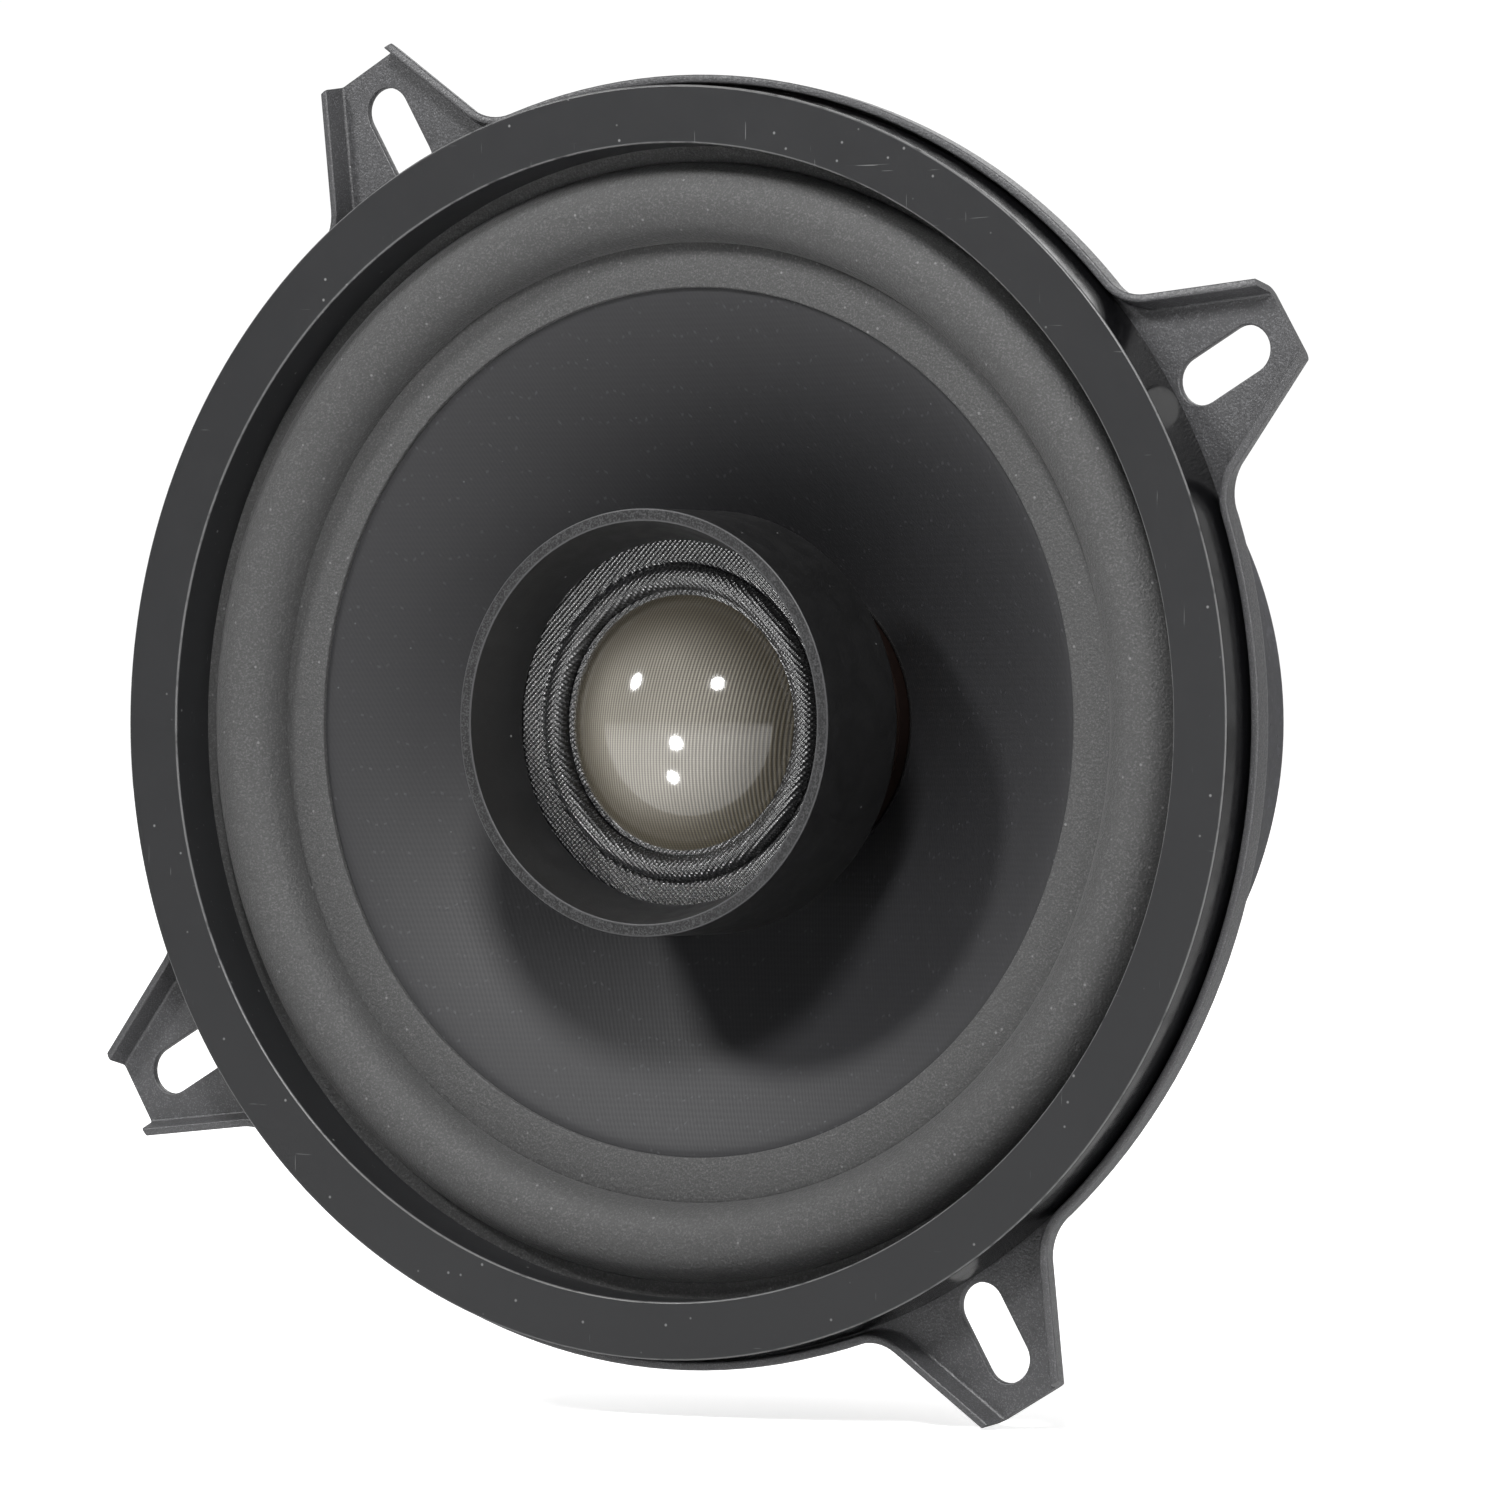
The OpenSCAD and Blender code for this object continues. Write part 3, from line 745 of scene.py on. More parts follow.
def stage_floor(base, near_glow=0.62, far_glow=0.95):
    """Pale floor with a trace of mottling, kept white far from the lights."""
    material, tree, shader = new_finish(
        "stage_floor", base, 0.55, Emission_Color=(1, 1, 1, 1),
    )
    spot = place_of(tree)
    mottle = noise(tree, spot, 0.01, 3)
    paper = blend_of(tree, mottle, lighter(base, 0.985), lighter(base, 1.015))
    tint(tree, shader, "Base Color", paper)
    reach = add(tree, "VectorMath", {0: spot}, operation="LENGTH").outputs["Value"]
    glow = step_of(tree, reach, 150, 700, near_glow, far_glow)
    tint(tree, shader, "Emission Strength", glow)
    return material


# ---------------------------------------------------------------- basket


class FlangeOutline:
    """The flange seen from the front: a rim with four ears, and its offsets."""

    rim_past_ring = 1.3
    tip_overrun = 4

    def __init__(self, shape):
        self.tip = shape.ear_tip / MM
        self.side = math.pi / 2 - shape.ear_side
        half = shape.ear_tip_half / MM
        self.reach = self.tip * math.cos(self.side) + half * math.sin(self.side)
        self.rim = span("trim_ring")[0] + self.rim_past_ring
        self.fillet = shape.ear_fillet / MM
        self.fillet_at = self.rim + self.fillet
        self.fillet_turn = self.side - math.acos((self.reach + self.fillet) / self.fillet_at)
        self.beyond = self.tip + self.tip_overrun
        self.turn = shape.ear_turn

    def stations(self):
        """Half an ear and half the rim to the next one: (kind, parameter, flare)."""
        arc_steps, rim_steps, side_steps = 8, 17, 6
        sides = [("side", i / side_steps, 1.0) for i in range(side_steps + 1)]
        fillet = [
            ("fillet", i / arc_steps, 1 - i / arc_steps) for i in range(1, arc_steps + 1)
        ]
        rim = [("rim", i / rim_steps, 0.0) for i in range(1, rim_steps)]
        return sides + fillet + rim

    def point(self, station, offset):
        """A point of the half outline beside the ear that lies along +u."""
        kind, t, _ = station
        normal = Vector((math.cos(self.side), math.sin(self.side)))
        along = Vector((math.sin(self.side), -math.cos(self.side)))
        centre = Vector((math.cos(self.fillet_turn), math.sin(self.fillet_turn))) * self.fillet_at
        foot = centre - normal * (self.fillet - offset)
        if kind == "side":
            tip = foot + along * ((self.beyond - foot.x) / along.x)
            return tip.lerp(foot, t)
        if kind == "fillet":
            start = self.side + math.pi
            end = self.fillet_turn + math.pi
            angle = start + (end - start) * t
            return centre + Vector((math.cos(angle), math.sin(angle))) * (self.fillet - offset)
        angle = self.fillet_turn + (math.pi / 4 - self.fillet_turn) * t
        return Vector((math.cos(angle), math.sin(angle))) * (self.rim + offset)

    def ring(self, offsets):
        """The whole outline, counterclockwise, with its offset given by the flare."""
        half = self.stations()
        quarter = [self.point(s, offsets(s[2])) for s in half]
        middle = Vector((math.cos(math.pi / 4), math.sin(math.pi / 4)))
        mitre = middle * (self.rim + offsets(0.0))
        lower = [Vector((p.x, -p.y)) for p in reversed(quarter)]
        ear = lower + quarter + [mitre]
        points = []
        for k in range(4):
            turn = Matrix.Rotation(self.turn + k * math.pi / 2, 2)
            points += [turn @ p for p in ear]
        return points


def lip_section(lean, sheet, lip, outer_bend=1.15, inner_bend=0.35, skin=0.88):
    """Section of the turned-up lip, as (offset, depth) from the rear face to the front face."""
    s, c = math.sin(lean), math.cos(lean)
    normal = Vector((c, s))
    rise = (lip - outer_bend + outer_bend * s) / c
    bend_x = -outer_bend * c - rise * s
    outer = arc((bend_x, -outer_bend), outer_bend, 90, math.degrees(lean), 6)
    top = Vector((0, -lip))
    small = 0.22
    up = Vector((s, -c))
    crown = [
        top - up * small, top - normal * small * 0.3 - up * small * 0.3, top - normal * small,
        top - normal * (skin - small), top - normal * (skin - small * 0.3) - up * small * 0.3,
        top - normal * skin - up * small,
    ]
    line = top.dot(normal) - skin
    inner_x = (line - inner_bend + (sheet + inner_bend) * s) / c
    inner = arc((inner_x, -sheet - inner_bend), inner_bend, math.degrees(lean), 90, 4)
    return outer + [tuple(p) for p in crown] + inner


def add_flange(bm, outline, shape):
    """Lip, ears and the walls of the screw slots, left open to the plate's two faces."""
    sheet = shape.sheet / MM
    lip = shape.lip / MM
    rim_section = lip_section(math.radians(3), sheet, lip)
    ear_section = lip_section(math.radians(15), sheet, lip)
    rings = []
    for (off_a, y_a), (off_b, y_b) in zip(rim_section, ear_section):
        points = outline.ring(lambda flare: off_a + (off_b - off_a) * flare)
        depths = [y_a + (y_b - y_a) * s[2] for s in outline.stations()]
        quarter = list(reversed(depths)) + depths + [y_a]
        rings.append([(p.x, y, p.y) for p, y in zip(points, quarter * 4)])
    loops = bridged(bm, rings)
    slots = []
    half = (shape.slot_length - shape.slot_width) / 2 / MM
    width = shape.slot_width / 2 / MM
    for k in range(4):
        turn = Matrix.Rotation(outline.turn + k * math.pi / 2, 2)
        rings = []
        for grow, depth in ((0.18, -sheet), (0, -sheet + 0.18), (0, -0.18), (0.18, 0.0)):
            stadium = arc((shape.slot_middle / MM + half, 0), width + grow, -90, 90, 16)
            stadium += arc((shape.slot_middle / MM - half, 0), width + grow, 90, 270, 16)
            rings.append([(p.x, depth, p.y) for p in (turn @ Vector(q) for q in stadium)])
        slots.append(bridged(bm, rings))
    return loops, slots


class BasketWall:
    """Middle line of the basket's sheet, from the flange to the hole behind the spider."""

    flange_r = 60.0
    wall_r = 56.5
    wall_end = 14.15
    shelf_r = 41.25
    well_r = 35.5
    hole_r = 17.6
    slope_r = 43.5
    window_front = 8.0
    window_half = math.radians(31)
    window_corner = 3.0

    def __init__(self, shape):
        half = shape.sheet / MM / 2
        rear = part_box("basket")[1].y / MM - half
        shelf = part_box("terminal_board")[0].y / MM - 0.05 - half
        self.half = half
        self.points = [Vector(p) for p in rounded([
            (self.flange_r, -half, 0), (self.wall_r, -half, 0.9),
            (self.wall_r, self.wall_end, 1.9), (self.shelf_r, shelf, 1.4),
            (self.well_r, shelf, 0.9), (self.well_r, rear, 1.3), (self.hole_r, rear, 0),
        ], closed=False, steps=5)]
        self.along = [0.0]
        for a, b in zip(self.points, self.points[1:]):
            self.along.append(self.along[-1] + (b - a).length)
        self.end = self.along[-1]

    def normal(self, i):
        """Direction out of the sheet's rear side at a point of the line."""
        before = self.points[i] - self.points[max(i - 1, 0)]
        after = self.points[min(i + 1, len(self.points) - 1)] - self.points[i]
        along = (before.normalized() + after.normalized()).normalized()
        return Vector((along.y, -along.x))

    def at(self, distance, depth):
        """Radius and depth of a point along the line, lifted off it."""
        i = 0
        while i < len(self.along) - 2 and self.along[i + 1] < distance:
            i += 1
        t = (distance - self.along[i]) / (self.along[i + 1] - self.along[i])
        middle = self.points[i].lerp(self.points[i + 1], t)
        return middle + self.normal(i).lerp(self.normal(i + 1), t).normalized() * depth

    def reach(self, test):
        """Distance along the line to the first place where a test becomes true."""
        steps = 4000
        for i in range(steps):
            point = self.at(self.end * i / steps, 0)
            if test(point):
                return self.end * i / steps
        raise ValueError("the basket's line never gets there")


def add_basket_body(bm, shape, spread=50.0, cells=48):
    """A strut between two windows, drawn as a flat slab, cut into cells, copied and rolled up."""
    wall = BasketWall(shape)
    start = wall.reach(lambda p: p.y > wall.window_front)
    stop = wall.reach(lambda p: p.y > wall.window_front and p.x < wall.slope_r)
    seam = math.pi / 4
    edge = seam - wall.window_half
    middle = (start + stop) / 2
    front = rounded([
        (seam * wall.wall_r, start, 0), (edge * wall.wall_r, start, wall.window_corner),
        (edge * wall.wall_r, middle, 0),
    ], closed=False, steps=6)[:-1]
    back = rounded([
        (edge * wall.slope_r, middle, 0), (edge * wall.slope_r, stop, wall.window_corner),
        (seam * wall.slope_r, stop, 0),
    ], closed=False, steps=6)[1:]
    side = [(x / wall.wall_r, y) for x, y in front] + [(x / wall.slope_r, y) for x, y in back]
    outline = [(-seam, 0), (seam, 0)] + side + [(seam, wall.end), (-seam, wall.end)]
    outline += [(-x, y) for x, y in reversed(side)]
    slab = bmesh.new()
    face = slab.faces.new([slab.verts.new((x * spread, y, -wall.half)) for x, y in outline])
    made = bmesh.ops.extrude_face_region(slab, geom=[face])["geom"]
    lifted = [g for g in made if isinstance(g, bmesh.types.BMVert)]
    bmesh.ops.translate(slab, vec=(0, 0, 2 * wall.half), verts=lifted)
    open_ends = []
    for face in slab.faces:
        middle = face.calc_center_median()
        if abs(abs(middle.x) - seam * spread) < 1e-4 or middle.y < 1e-4:
            open_ends.append(face)
    bmesh.ops.delete(slab, geom=open_ends, context="FACES")
    rim = [
        e for e in slab.edges
        if not e.is_boundary and abs(e.verts[0].co.z - e.verts[1].co.z) < 1e-4
    ]
    bmesh.ops.bevel(
        slab, geom=rim, offset=0.2, affect="EDGES", segments=2, profile=0.5, material=-1,
    )
    planes = [((x * spread, 0, 0), (1, 0, 0)) for x in (
        -seam + 2 * seam * i / cells for i in range(1, cells)
    )]
    planes += [((0, y, 0), (0, 1, 0)) for y in wall.along[1:-1]]
    for point, direction in planes:
        bmesh.ops.bisect_plane(
            slab, geom=slab.verts[:] + slab.edges[:] + slab.faces[:], plane_co=point,
            plane_no=direction,
        )
    for k in range(4):
        strut = slab.copy()
        for vertex in strut.verts:
            r, y = wall.at(vertex.co.y, vertex.co.z)
            turn = vertex.co.x / spread + seam + k * math.pi / 2
            vertex.co = (r * math.cos(turn), y, r * math.sin(turn))
        mesh = bpy.data.meshes.new("strut")
        strut.to_mesh(mesh)
        strut.free()
        bm.from_mesh(mesh)
        bpy.data.meshes.remove(mesh)
    slab.free()
    bmesh.ops.remove_doubles(bm, verts=bm.verts, dist=0.002)


def build_basket(shape, colours):
    outline = FlangeOutline(shape)
    sheet = shape.sheet / MM
    bm = bmesh.new()
    add_basket_body(bm, shape)
    circles = {
        y: [
            e for e in bm.edges
            if e.is_boundary and all(abs(v.co.y - y) < 0.01 for v in e.verts)
        ]
        for y in (-sheet, 0.0)
    }
    loops, slots = add_flange(bm, outline, shape)
    rear = circles[0.0] + loops[0] + [e for slot in slots for e in slot[-1]]
    front = circles[-sheet] + loops[-1] + [e for slot in slots for e in slot[0]]
    for edges in (rear, front):
        bmesh.ops.triangle_fill(bm, use_beauty=True, edges=edges)
    for k in range(4):
        angle = outline.turn + k * math.pi / 2
        out = Vector((math.cos(angle), 0, math.sin(angle)))
        near = [v for v in bm.verts if v.co.dot(out) > outline.tip - 14]
        faces = {f for v in near for f in v.link_faces}
        edges = {e for f in faces for e in f.edges}
        verts = {v for f in faces for v in f.verts}
        cut = bmesh.ops.bisect_plane(
            bm, geom=[*verts, *edges, *faces], plane_co=out * outline.tip, plane_no=out,
            clear_outer=True,
        )
        border = [
            g for g in cut["geom_cut"]
            if isinstance(g, bmesh.types.BMEdge) and g.is_boundary
        ]
        bmesh.ops.edgeloop_fill(bm, edges=border)
    piece = settle(bm, "basket_shell", powder_coat(colours.coat), sharp=50)
    weigh(piece)
    place(piece, FRAME_BODY, "powder_coat", "basket")


# ---------------------------------------------------------------- other pieces


def build_trim_ring(shape, colours):
    outer, front, rear = span("trim_ring")
    bore = shape.ring_bore / MM
    edge = shape.edge / MM
    section = rounded([
        (bore, rear, 0.1), (bore, front, edge), (outer, front, edge), (outer, rear, 0.1),
    ], steps=4)
    satin = ring_satin(colours.ring, outer, bore, front)
    piece = turned("trim_ring_face", section, satin, ring_gloss(), steps=256)
    for face in piece.data.polygons:
        middle = face.center
        if math.hypot(middle.x, middle.z) > (outer - 0.02) * MM:
            face.material_index = 1
    weigh(piece)
    place(piece, FRAME_BODY, "satin_polymer", "trim_ring")


def radial_blend(piece, outer_body, inner_body, outer_r, inner_r):
    """Each point follows the inner body near the axis and the outer body far from it."""
    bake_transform(piece, outer_body, inner_body, start=(outer_r * MM, 0, 0), end=(inner_r * MM, 0, 0))
    weights = piece.data.attributes["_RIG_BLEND"].data
    for vertex in piece.data.vertices:
        radius = math.hypot(vertex.co.x, vertex.co.z) / MM
        share = min(1.0, max(0.0, (outer_r - radius) / (outer_r - inner_r)))
        weights[vertex.index].value = share * share * (3 - 2 * share)


def build_surround(shape, colours):
    outer, front, _ = span("surround")
    roll, middle = shape.roll / MM, shape.roll_middle / MM
    skin = shape.rubber / MM
    landing = shape.landing / MM
    cone_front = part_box("cone")[0].y / MM
    foot = front + roll
    seat = -shape.sheet / MM - 0.02
    land = cone_front - 0.02
    top = arc((middle, foot), roll, -2, -178, 48)
    under = arc((middle, foot), roll - skin, -178, -2, 48)
    outer_land = rounded([
        (middle + roll + 0.05, seat - skin, 0), (outer, seat - skin, 0.1), (outer, seat, 0),
        (middle + roll - skin, seat, 0),
    ], closed=False, steps=2)
    inner_land = rounded([
        (middle - roll + skin, land, 0), (landing, land, 0), (landing, land - skin, 0.16),
        (middle - roll - 0.25, land - skin, 0),
    ], closed=False, steps=3)
    section = outer_land[::-1] + top + inner_land[::-1] + under
    piece = turned("surround_roll", section, surround_rubber(colours.rubber), steps=256, sharp=50)
    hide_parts("surround")
    radial_blend(piece, FRAME_BODY, CONE_BODY, middle + roll, middle - roll)


def build_cone(shape, colours):
    rim_r, rim_y, rear = span("cone")
    neck_r = span("voice_coil_former")[0] + 0.05
    neck_y = rear - 2
    edge_r = shape.landing / MM - 0.4
    skin = shape.cone_skin / MM
    steps = 56

    def depth(r):
        return rim_y + (neck_y - rim_y) * ((edge_r - r) / (edge_r - neck_r)) ** 1.2

    radii = [neck_r + (edge_r - neck_r) * i / steps for i in range(steps + 1)]
    section = [(r, depth(r)) for r in radii]
    section += [(rim_r, rim_y), (rim_r, rim_y + skin)]
    section += [(r, depth(r) + skin * 1.2) for r in reversed(radii[1:])]
    section += [(neck_r + skin, neck_y + 0.6), (neck_r + skin, rear), (neck_r, rear)]
    piece = turned("cone_skin", section, cone_weave(colours.cone), steps=256)
    place(piece, CONE_BODY, "woven_cone", "cone")
    glue = arc((neck_r + 0.55, neck_y + 0.25), 0.62, -60, -190, 6)
    bead = turned(
        "neck_glue", glue + [(neck_r - 0.02, neck_y + 0.6)],
        cup_plastic((0.01, 0.01, 0.01), "glue", 0.2), steps=96,
    )
    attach(bead, CONE_BODY)


def build_voice_coil():
    refinish("voice_coil_former", film(FORMER_BROWN_WITH_PAINTED_SHADE))
    refinish("voice_coil", winding(COPPER))


def build_spider(colours):
    outer = span("spider")[0]
    neck_r = span("voice_coil_former")[0] + 0.05
    first, last, waves, crest = 17.6, 34.2, 5, 1.1
    half = 0.2
    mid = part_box("spider")[1].y / MM - crest - half
    steps = 100
    wave = [
        (first + (last - first) * i / steps, mid + crest * math.sin(math.tau * waves * i / steps))
        for i in range(steps + 1)
    ]
    top = [(neck_r, mid - half - 0.6), (neck_r + 0.4, mid - half)]
    top += [(r, y - half) for r, y in wave]
    bottom = [(outer, mid - half), (outer, mid + half)]
    bottom += [(r, y + half) for r, y in reversed(wave)] + [(neck_r, mid + half)]
    piece = turned("spider_cloth", top + bottom, spider_cloth(colours.spider), steps=192, sharp=60)
    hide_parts("spider")
    radial_blend(piece, FRAME_BODY, CONE_BODY, last, first)


def cut_groove(bm, half, floor):
    """A straight groove in the rear face, from the middle recess down to the rim."""
    for point, direction in (
        ((-half, 0, 0), (1, 0, 0)), ((half, 0, 0), (1, 0, 0)), ((0, floor, 0), (0, 1, 0)),
    ):
        bmesh.ops.bisect_plane(
            bm, geom=bm.verts[:] + bm.edges[:] + bm.faces[:], plane_co=point,
            plane_no=direction, dist=1e-4,
        )
    inside = []
    for face in bm.faces:
        middle = face.calc_center_median()
        if abs(middle.x) < half and middle.z < 0 and middle.y > floor:
            inside.append(face)
    bmesh.ops.delete(bm, geom=inside, context="FACES")
    border = [e for e in bm.edges if e.is_boundary]
    corners = {v for e in border for v in e.verts if abs(v.co.y - floor) < 1e-3}
    across = []
    for side in (-half, half):
        ends = [v for v in corners if abs(v.co.x - side) < 1e-3]
        ends = [min(ends, key=lambda v: v.co.z), max(ends, key=lambda v: v.co.z)]
        across.append(bm.edges.new(ends))
        wall = [e for e in border if all(abs(v.co.x - side) < 1e-3 for v in e.verts)]
        bmesh.ops.edgeloop_fill(bm, edges=wall + [across[-1]])
    ground = [e for e in border if all(abs(v.co.y - floor) < 1e-3 for v in e.verts)]
    bmesh.ops.edgeloop_fill(bm, edges=ground + across)


def build_motor(colours):
    steel = plated_steel(colours.zinc)
    gap_r, magnet_bore, pole_r = 16.8, 24, 14.7
    post_hole, recess_r = 4.1, 9.5
    groove_half, groove_depth = 2.0, 1.6
    rivet_circle, rivet_head, rivet_height, rivet_shank = 29, 3.4, 1.4, 2
    plate_r, plate_front, plate_rear = span("top_plate")
    front_plate = turned("front_plate", rounded([
        (gap_r, plate_front, 0.2), (plate_r, plate_front, 0.5), (plate_r, plate_rear, 0.3),
        (gap_r, plate_rear, 0.2),
    ]), steel, steps=192)
    weigh(front_plate)
    place(front_plate, FRAME_BODY, "zinc_plate", "top_plate")
    magnet_r, magnet_front, magnet_rear = span("magnet")
    ring = turned("ring_magnet", rounded([
        (magnet_bore, magnet_front, 0.5), (magnet_r, magnet_front, 1.0),
        (magnet_r, magnet_rear, 1.0), (magnet_bore, magnet_rear, 0.5),
    ]), ferrite(colours.ferrite), steps=192)
    weigh(ring)
    place(ring, FRAME_BODY, "ferrite", "magnet")
    yoke_r, pole_front, yoke_rear = span("yoke")
    bm = bmesh.new()
    add_turned(bm, rounded([
        (post_hole, pole_front, 0.2), (pole_r, pole_front, 0.6), (pole_r, magnet_rear, 0.3),
        (yoke_r, magnet_rear, 0.3), (yoke_r, yoke_rear, 1.2), (recess_r, yoke_rear, 0.5),
        (recess_r, magnet_rear, 0.2), (post_hole, magnet_rear, 0.2),
    ]), steps=192)
    bmesh.ops.remove_doubles(bm, verts=bm.verts, dist=0.0005)
    cut_groove(bm, groove_half, yoke_rear - groove_depth)
    yoke = settle(bm, "yoke_body", steel, sharp=35)
    weigh(yoke)
    place(yoke, FRAME_BODY, "zinc_plate", "yoke")
    _, top, end = span("motor_rivets")
    bm = bmesh.new()
    for k in range(4):
        angle = math.radians(45 + 90 * k)
        centre = Vector((math.cos(angle), 0, math.sin(angle))) * rivet_circle
        head = rounded([
            (0, top, 0), (rivet_head, top, 0.9), (rivet_head, top + rivet_height, 0.1),
            (rivet_shank, top + rivet_height, 0), (rivet_shank, end, 0), (0, end, 0),
        ], closed=False, steps=4)
        before = set(bm.verts)
        add_turned(bm, head, closed=False, steps=32)
        bmesh.ops.translate(bm, vec=centre, verts=[v for v in bm.verts if v not in before])
    rivets = settle(bm, "motor_rivet_heads", small_metal("rivet_metal", (0.6, 0.6, 0.6)))
    place(rivets, FRAME_BODY, "zinc_plate", "motor_rivets")


def build_post(colours):
    refinish("tweeter_post", small_metal("brass", colours.brass, 0.3, 0.85))
    refinish("post_washer", small_metal("washer_metal", (0.50, 0.50, 0.48)))
    refinish("post_nut", small_metal("nut_metal", (0.52, 0.48, 0.36), 0.25))


def build_cup(colours):
    outer, front, rear = span("tweeter_cup")
    plastic = cup_plastic(colours.cup)
    mouth_r, ledge_r, bore_r, ledge, mouth_round = 20.5, 18.6, 19.4, -3.6, 0.12
    section = rounded([
        (mouth_r, front, mouth_round), (outer, front, 0.18), (outer, rear, 0.1),
        (bore_r, rear, 0.1), (bore_r, ledge, 0.05), (ledge_r, ledge, 0.25),
    ], steps=3)
    lip = lip_plastic(colours.cup, mouth_r, outer)
    cup = turned("cup_shell", section, plastic, lip, steps=224)
    for face in cup.data.polygons:
        if face.center.y < (front + mouth_round) * MM:
            face.material_index = 1
    weigh(cup)
    place(cup, FRAME_BODY, "cup_plastic", "tweeter_cup")
    cap_rear = span("tweeter_rear_cap")[2]
    plug_r, plug_bore, plug_front, seat = 19.35, 17.2, 1.1, 6.8
    inside_r, inside, hole_r, neck_r = 14, 8, 4.02, 7
    cap = turned("rear_cap_shell", rounded([
        (plug_r, plug_front, 0), (plug_r, rear, 0.1), (outer - 0.05, rear + 0.02, 0.1),
        (outer - 0.3, 3.8, 0.5), (18.8, 7.6, 1.5), (9, 9.5, 1.0), (neck_r, 9.7, 0.8),
        (neck_r, cap_rear, 0.3), (hole_r, cap_rear, 0.1), (hole_r, inside, 0),
        (inside_r, inside, 0), (inside_r, seat, 0), (plug_bore, seat, 0),
        (plug_bore, plug_front, 0),
    ], steps=4), plastic, steps=160)
    weigh(cap)
    place(cap, FRAME_BODY, "cup_plastic", "tweeter_rear_cap")
    link_lights("key_side", "EXCLUDE", cup, cap)


def link_lights(prefix, state, *pieces):
    """Adds pieces to the ones that the lights with this prefix include or exclude."""
    for lamp in bpy.data.objects:
        group = lamp.light_linking.receiver_collection
        if group is None or not lamp.name.startswith(prefix):
            continue
        for piece in pieces:
            group.objects.link(piece)
        for member in group.collection_objects:
            member.light_linking.link_state = state


def build_tweeter_face(shape, colours):
    textile = coated_textile(colours.textile)
    outer, front, rear = span("tweeter_flange")
    roll_r = span("tweeter_surround")[0]
    middle, roll, roll_skin = 14.95, 1.3, 0.25
    dome_r, dome_skin, seat_r = 13.1, 0.3, 12.6
    flange = turned("tweeter_cloth", [
        (outer, front), (outer, rear), (roll_r + 0.05, rear), (roll_r + 0.05, rear - 0.2),
        (roll_r + 0.3, rear - 0.45), (outer - 2.4, front + 0.1), (outer - 1.2, front),
    ], textile, steps=192)
    place(flange, FRAME_BODY, "tweeter_textile", "tweeter_flange")
    dome_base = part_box("tweeter_dome")[1].y / MM - 0.25
    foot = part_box("tweeter_surround")[1].y / MM
    top = arc((middle, foot), roll, 0, -180, 28)
    under = arc((middle, foot), roll - roll_skin, -180, 0, 28)
    edge = turned("tweeter_roll", top + under, textile, steps=192, sharp=60)
    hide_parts("tweeter_surround")
    radial_blend(edge, FRAME_BODY, DOME_BODY, middle + roll, middle - roll)
    height = shape.dome_height / MM
    sphere = (dome_r ** 2 + height ** 2) / (2 * height)
    centre = (0, dome_base - height + sphere)
    reach = math.degrees(math.asin(dome_r / sphere))
    crown = arc(centre, sphere, -90, -90 + reach, 40)
    inside = arc(centre, sphere - dome_skin, -90 + reach, -90, 40)
    skirt = [(dome_r + 0.12, dome_base - 0.05), (dome_r + 0.5, dome_base - 0.12),
             (dome_r + 0.5, dome_base + 0.25), (seat_r, dome_base + 0.25)]
    dome = turned(
        "dome_skin", crown + skirt + inside, dome_silk(colours.dome), textile,
        closed=False, steps=192, sharp=60,
    )
    for face in dome.data.polygons:
        if math.hypot(face.center.x, face.center.z) > (dome_r + 0.02) * MM:
            face.material_index = 1
    place(dome, DOME_BODY, "dome_silk", "tweeter_dome")
    link_lights("key", "EXCLUDE", dome, edge, flange)
    link_lights("dome_spark", "INCLUDE", dome, edge, flange)
    link_lights("floor", "INCLUDE", dome, edge, flange)


def build_tweeter_motor(colours):
    finishes = {
        "tweeter_pot": plated_steel(colours.zinc, "pot_steel"),
        "tweeter_magnet": small_metal("nickel", (0.68, 0.66, 0.62), 0.18),
        "tweeter_top_plate": small_metal("plate_metal", (0.6, 0.6, 0.6)),
        "tweeter_mounting_ring": cup_plastic(colours.cup, "mounting_plastic"),
        "tweeter_former": film(FORMER_BROWN_WITH_PAINTED_SHADE),
        "tweeter_coil": winding(COPPER, 0.1),
        "tweeter_damping_pad": felt((0.32, 0.32, 0.31)),
    }
    for node, material in finishes.items():
        refinish(node, material)


def tab_shape(bm, x, width, board_rear, z):
    """A spade tab: a foot on the board, and a pierced blade with chamfered corners."""
    thick, reach, chamfer = 0.8, 7.6, 0.8
    foot_low, foot_high, foot_round, blade_low = z - 2.4, z + 3, 0.6, z - 2.35
    hole_r, hole_at = 0.6, 5
    half, base, tip = width / 2, board_rear, board_rear + reach
    foot = rounded([
        (x - half, foot_low, 0), (x + half, foot_low, 0), (x + half, foot_high, foot_round),
        (x - half, foot_high, foot_round),
    ], steps=3)
    plate(bm, [[(u, base, v) for u, v in foot]], (0, thick, 0))
    root = base + thick / 2
    blade = [
        (x - half, root), (x - half, tip - chamfer), (x - half + chamfer, tip),
        (x + half - chamfer, tip), (x + half, tip - chamfer), (x + half, root),
    ]
    hole = arc((x, base + hole_at), hole_r, 0, 345, 23)
    plate(bm, [[(u, v, blade_low) for u, v in loop] for loop in (blade, hole)], (0, 0, thick))


def add_rivet(bm, x, z, front, rear, head, shank):
    """A domed rivet through the board."""
    old = set(bm.verts)
    outline = rounded([
        (0, rear + 0.7, 0), (head, rear + 0.7, 0.45), (head, rear, 0), (shank, rear, 0),
        (shank, front, 0.2), (0, front, 0),
    ], closed=False)
    add_turned(bm, outline, closed=False, steps=28)
    bmesh.ops.translate(bm, vec=(x, 0, z), verts=[v for v in bm.verts if v not in old])


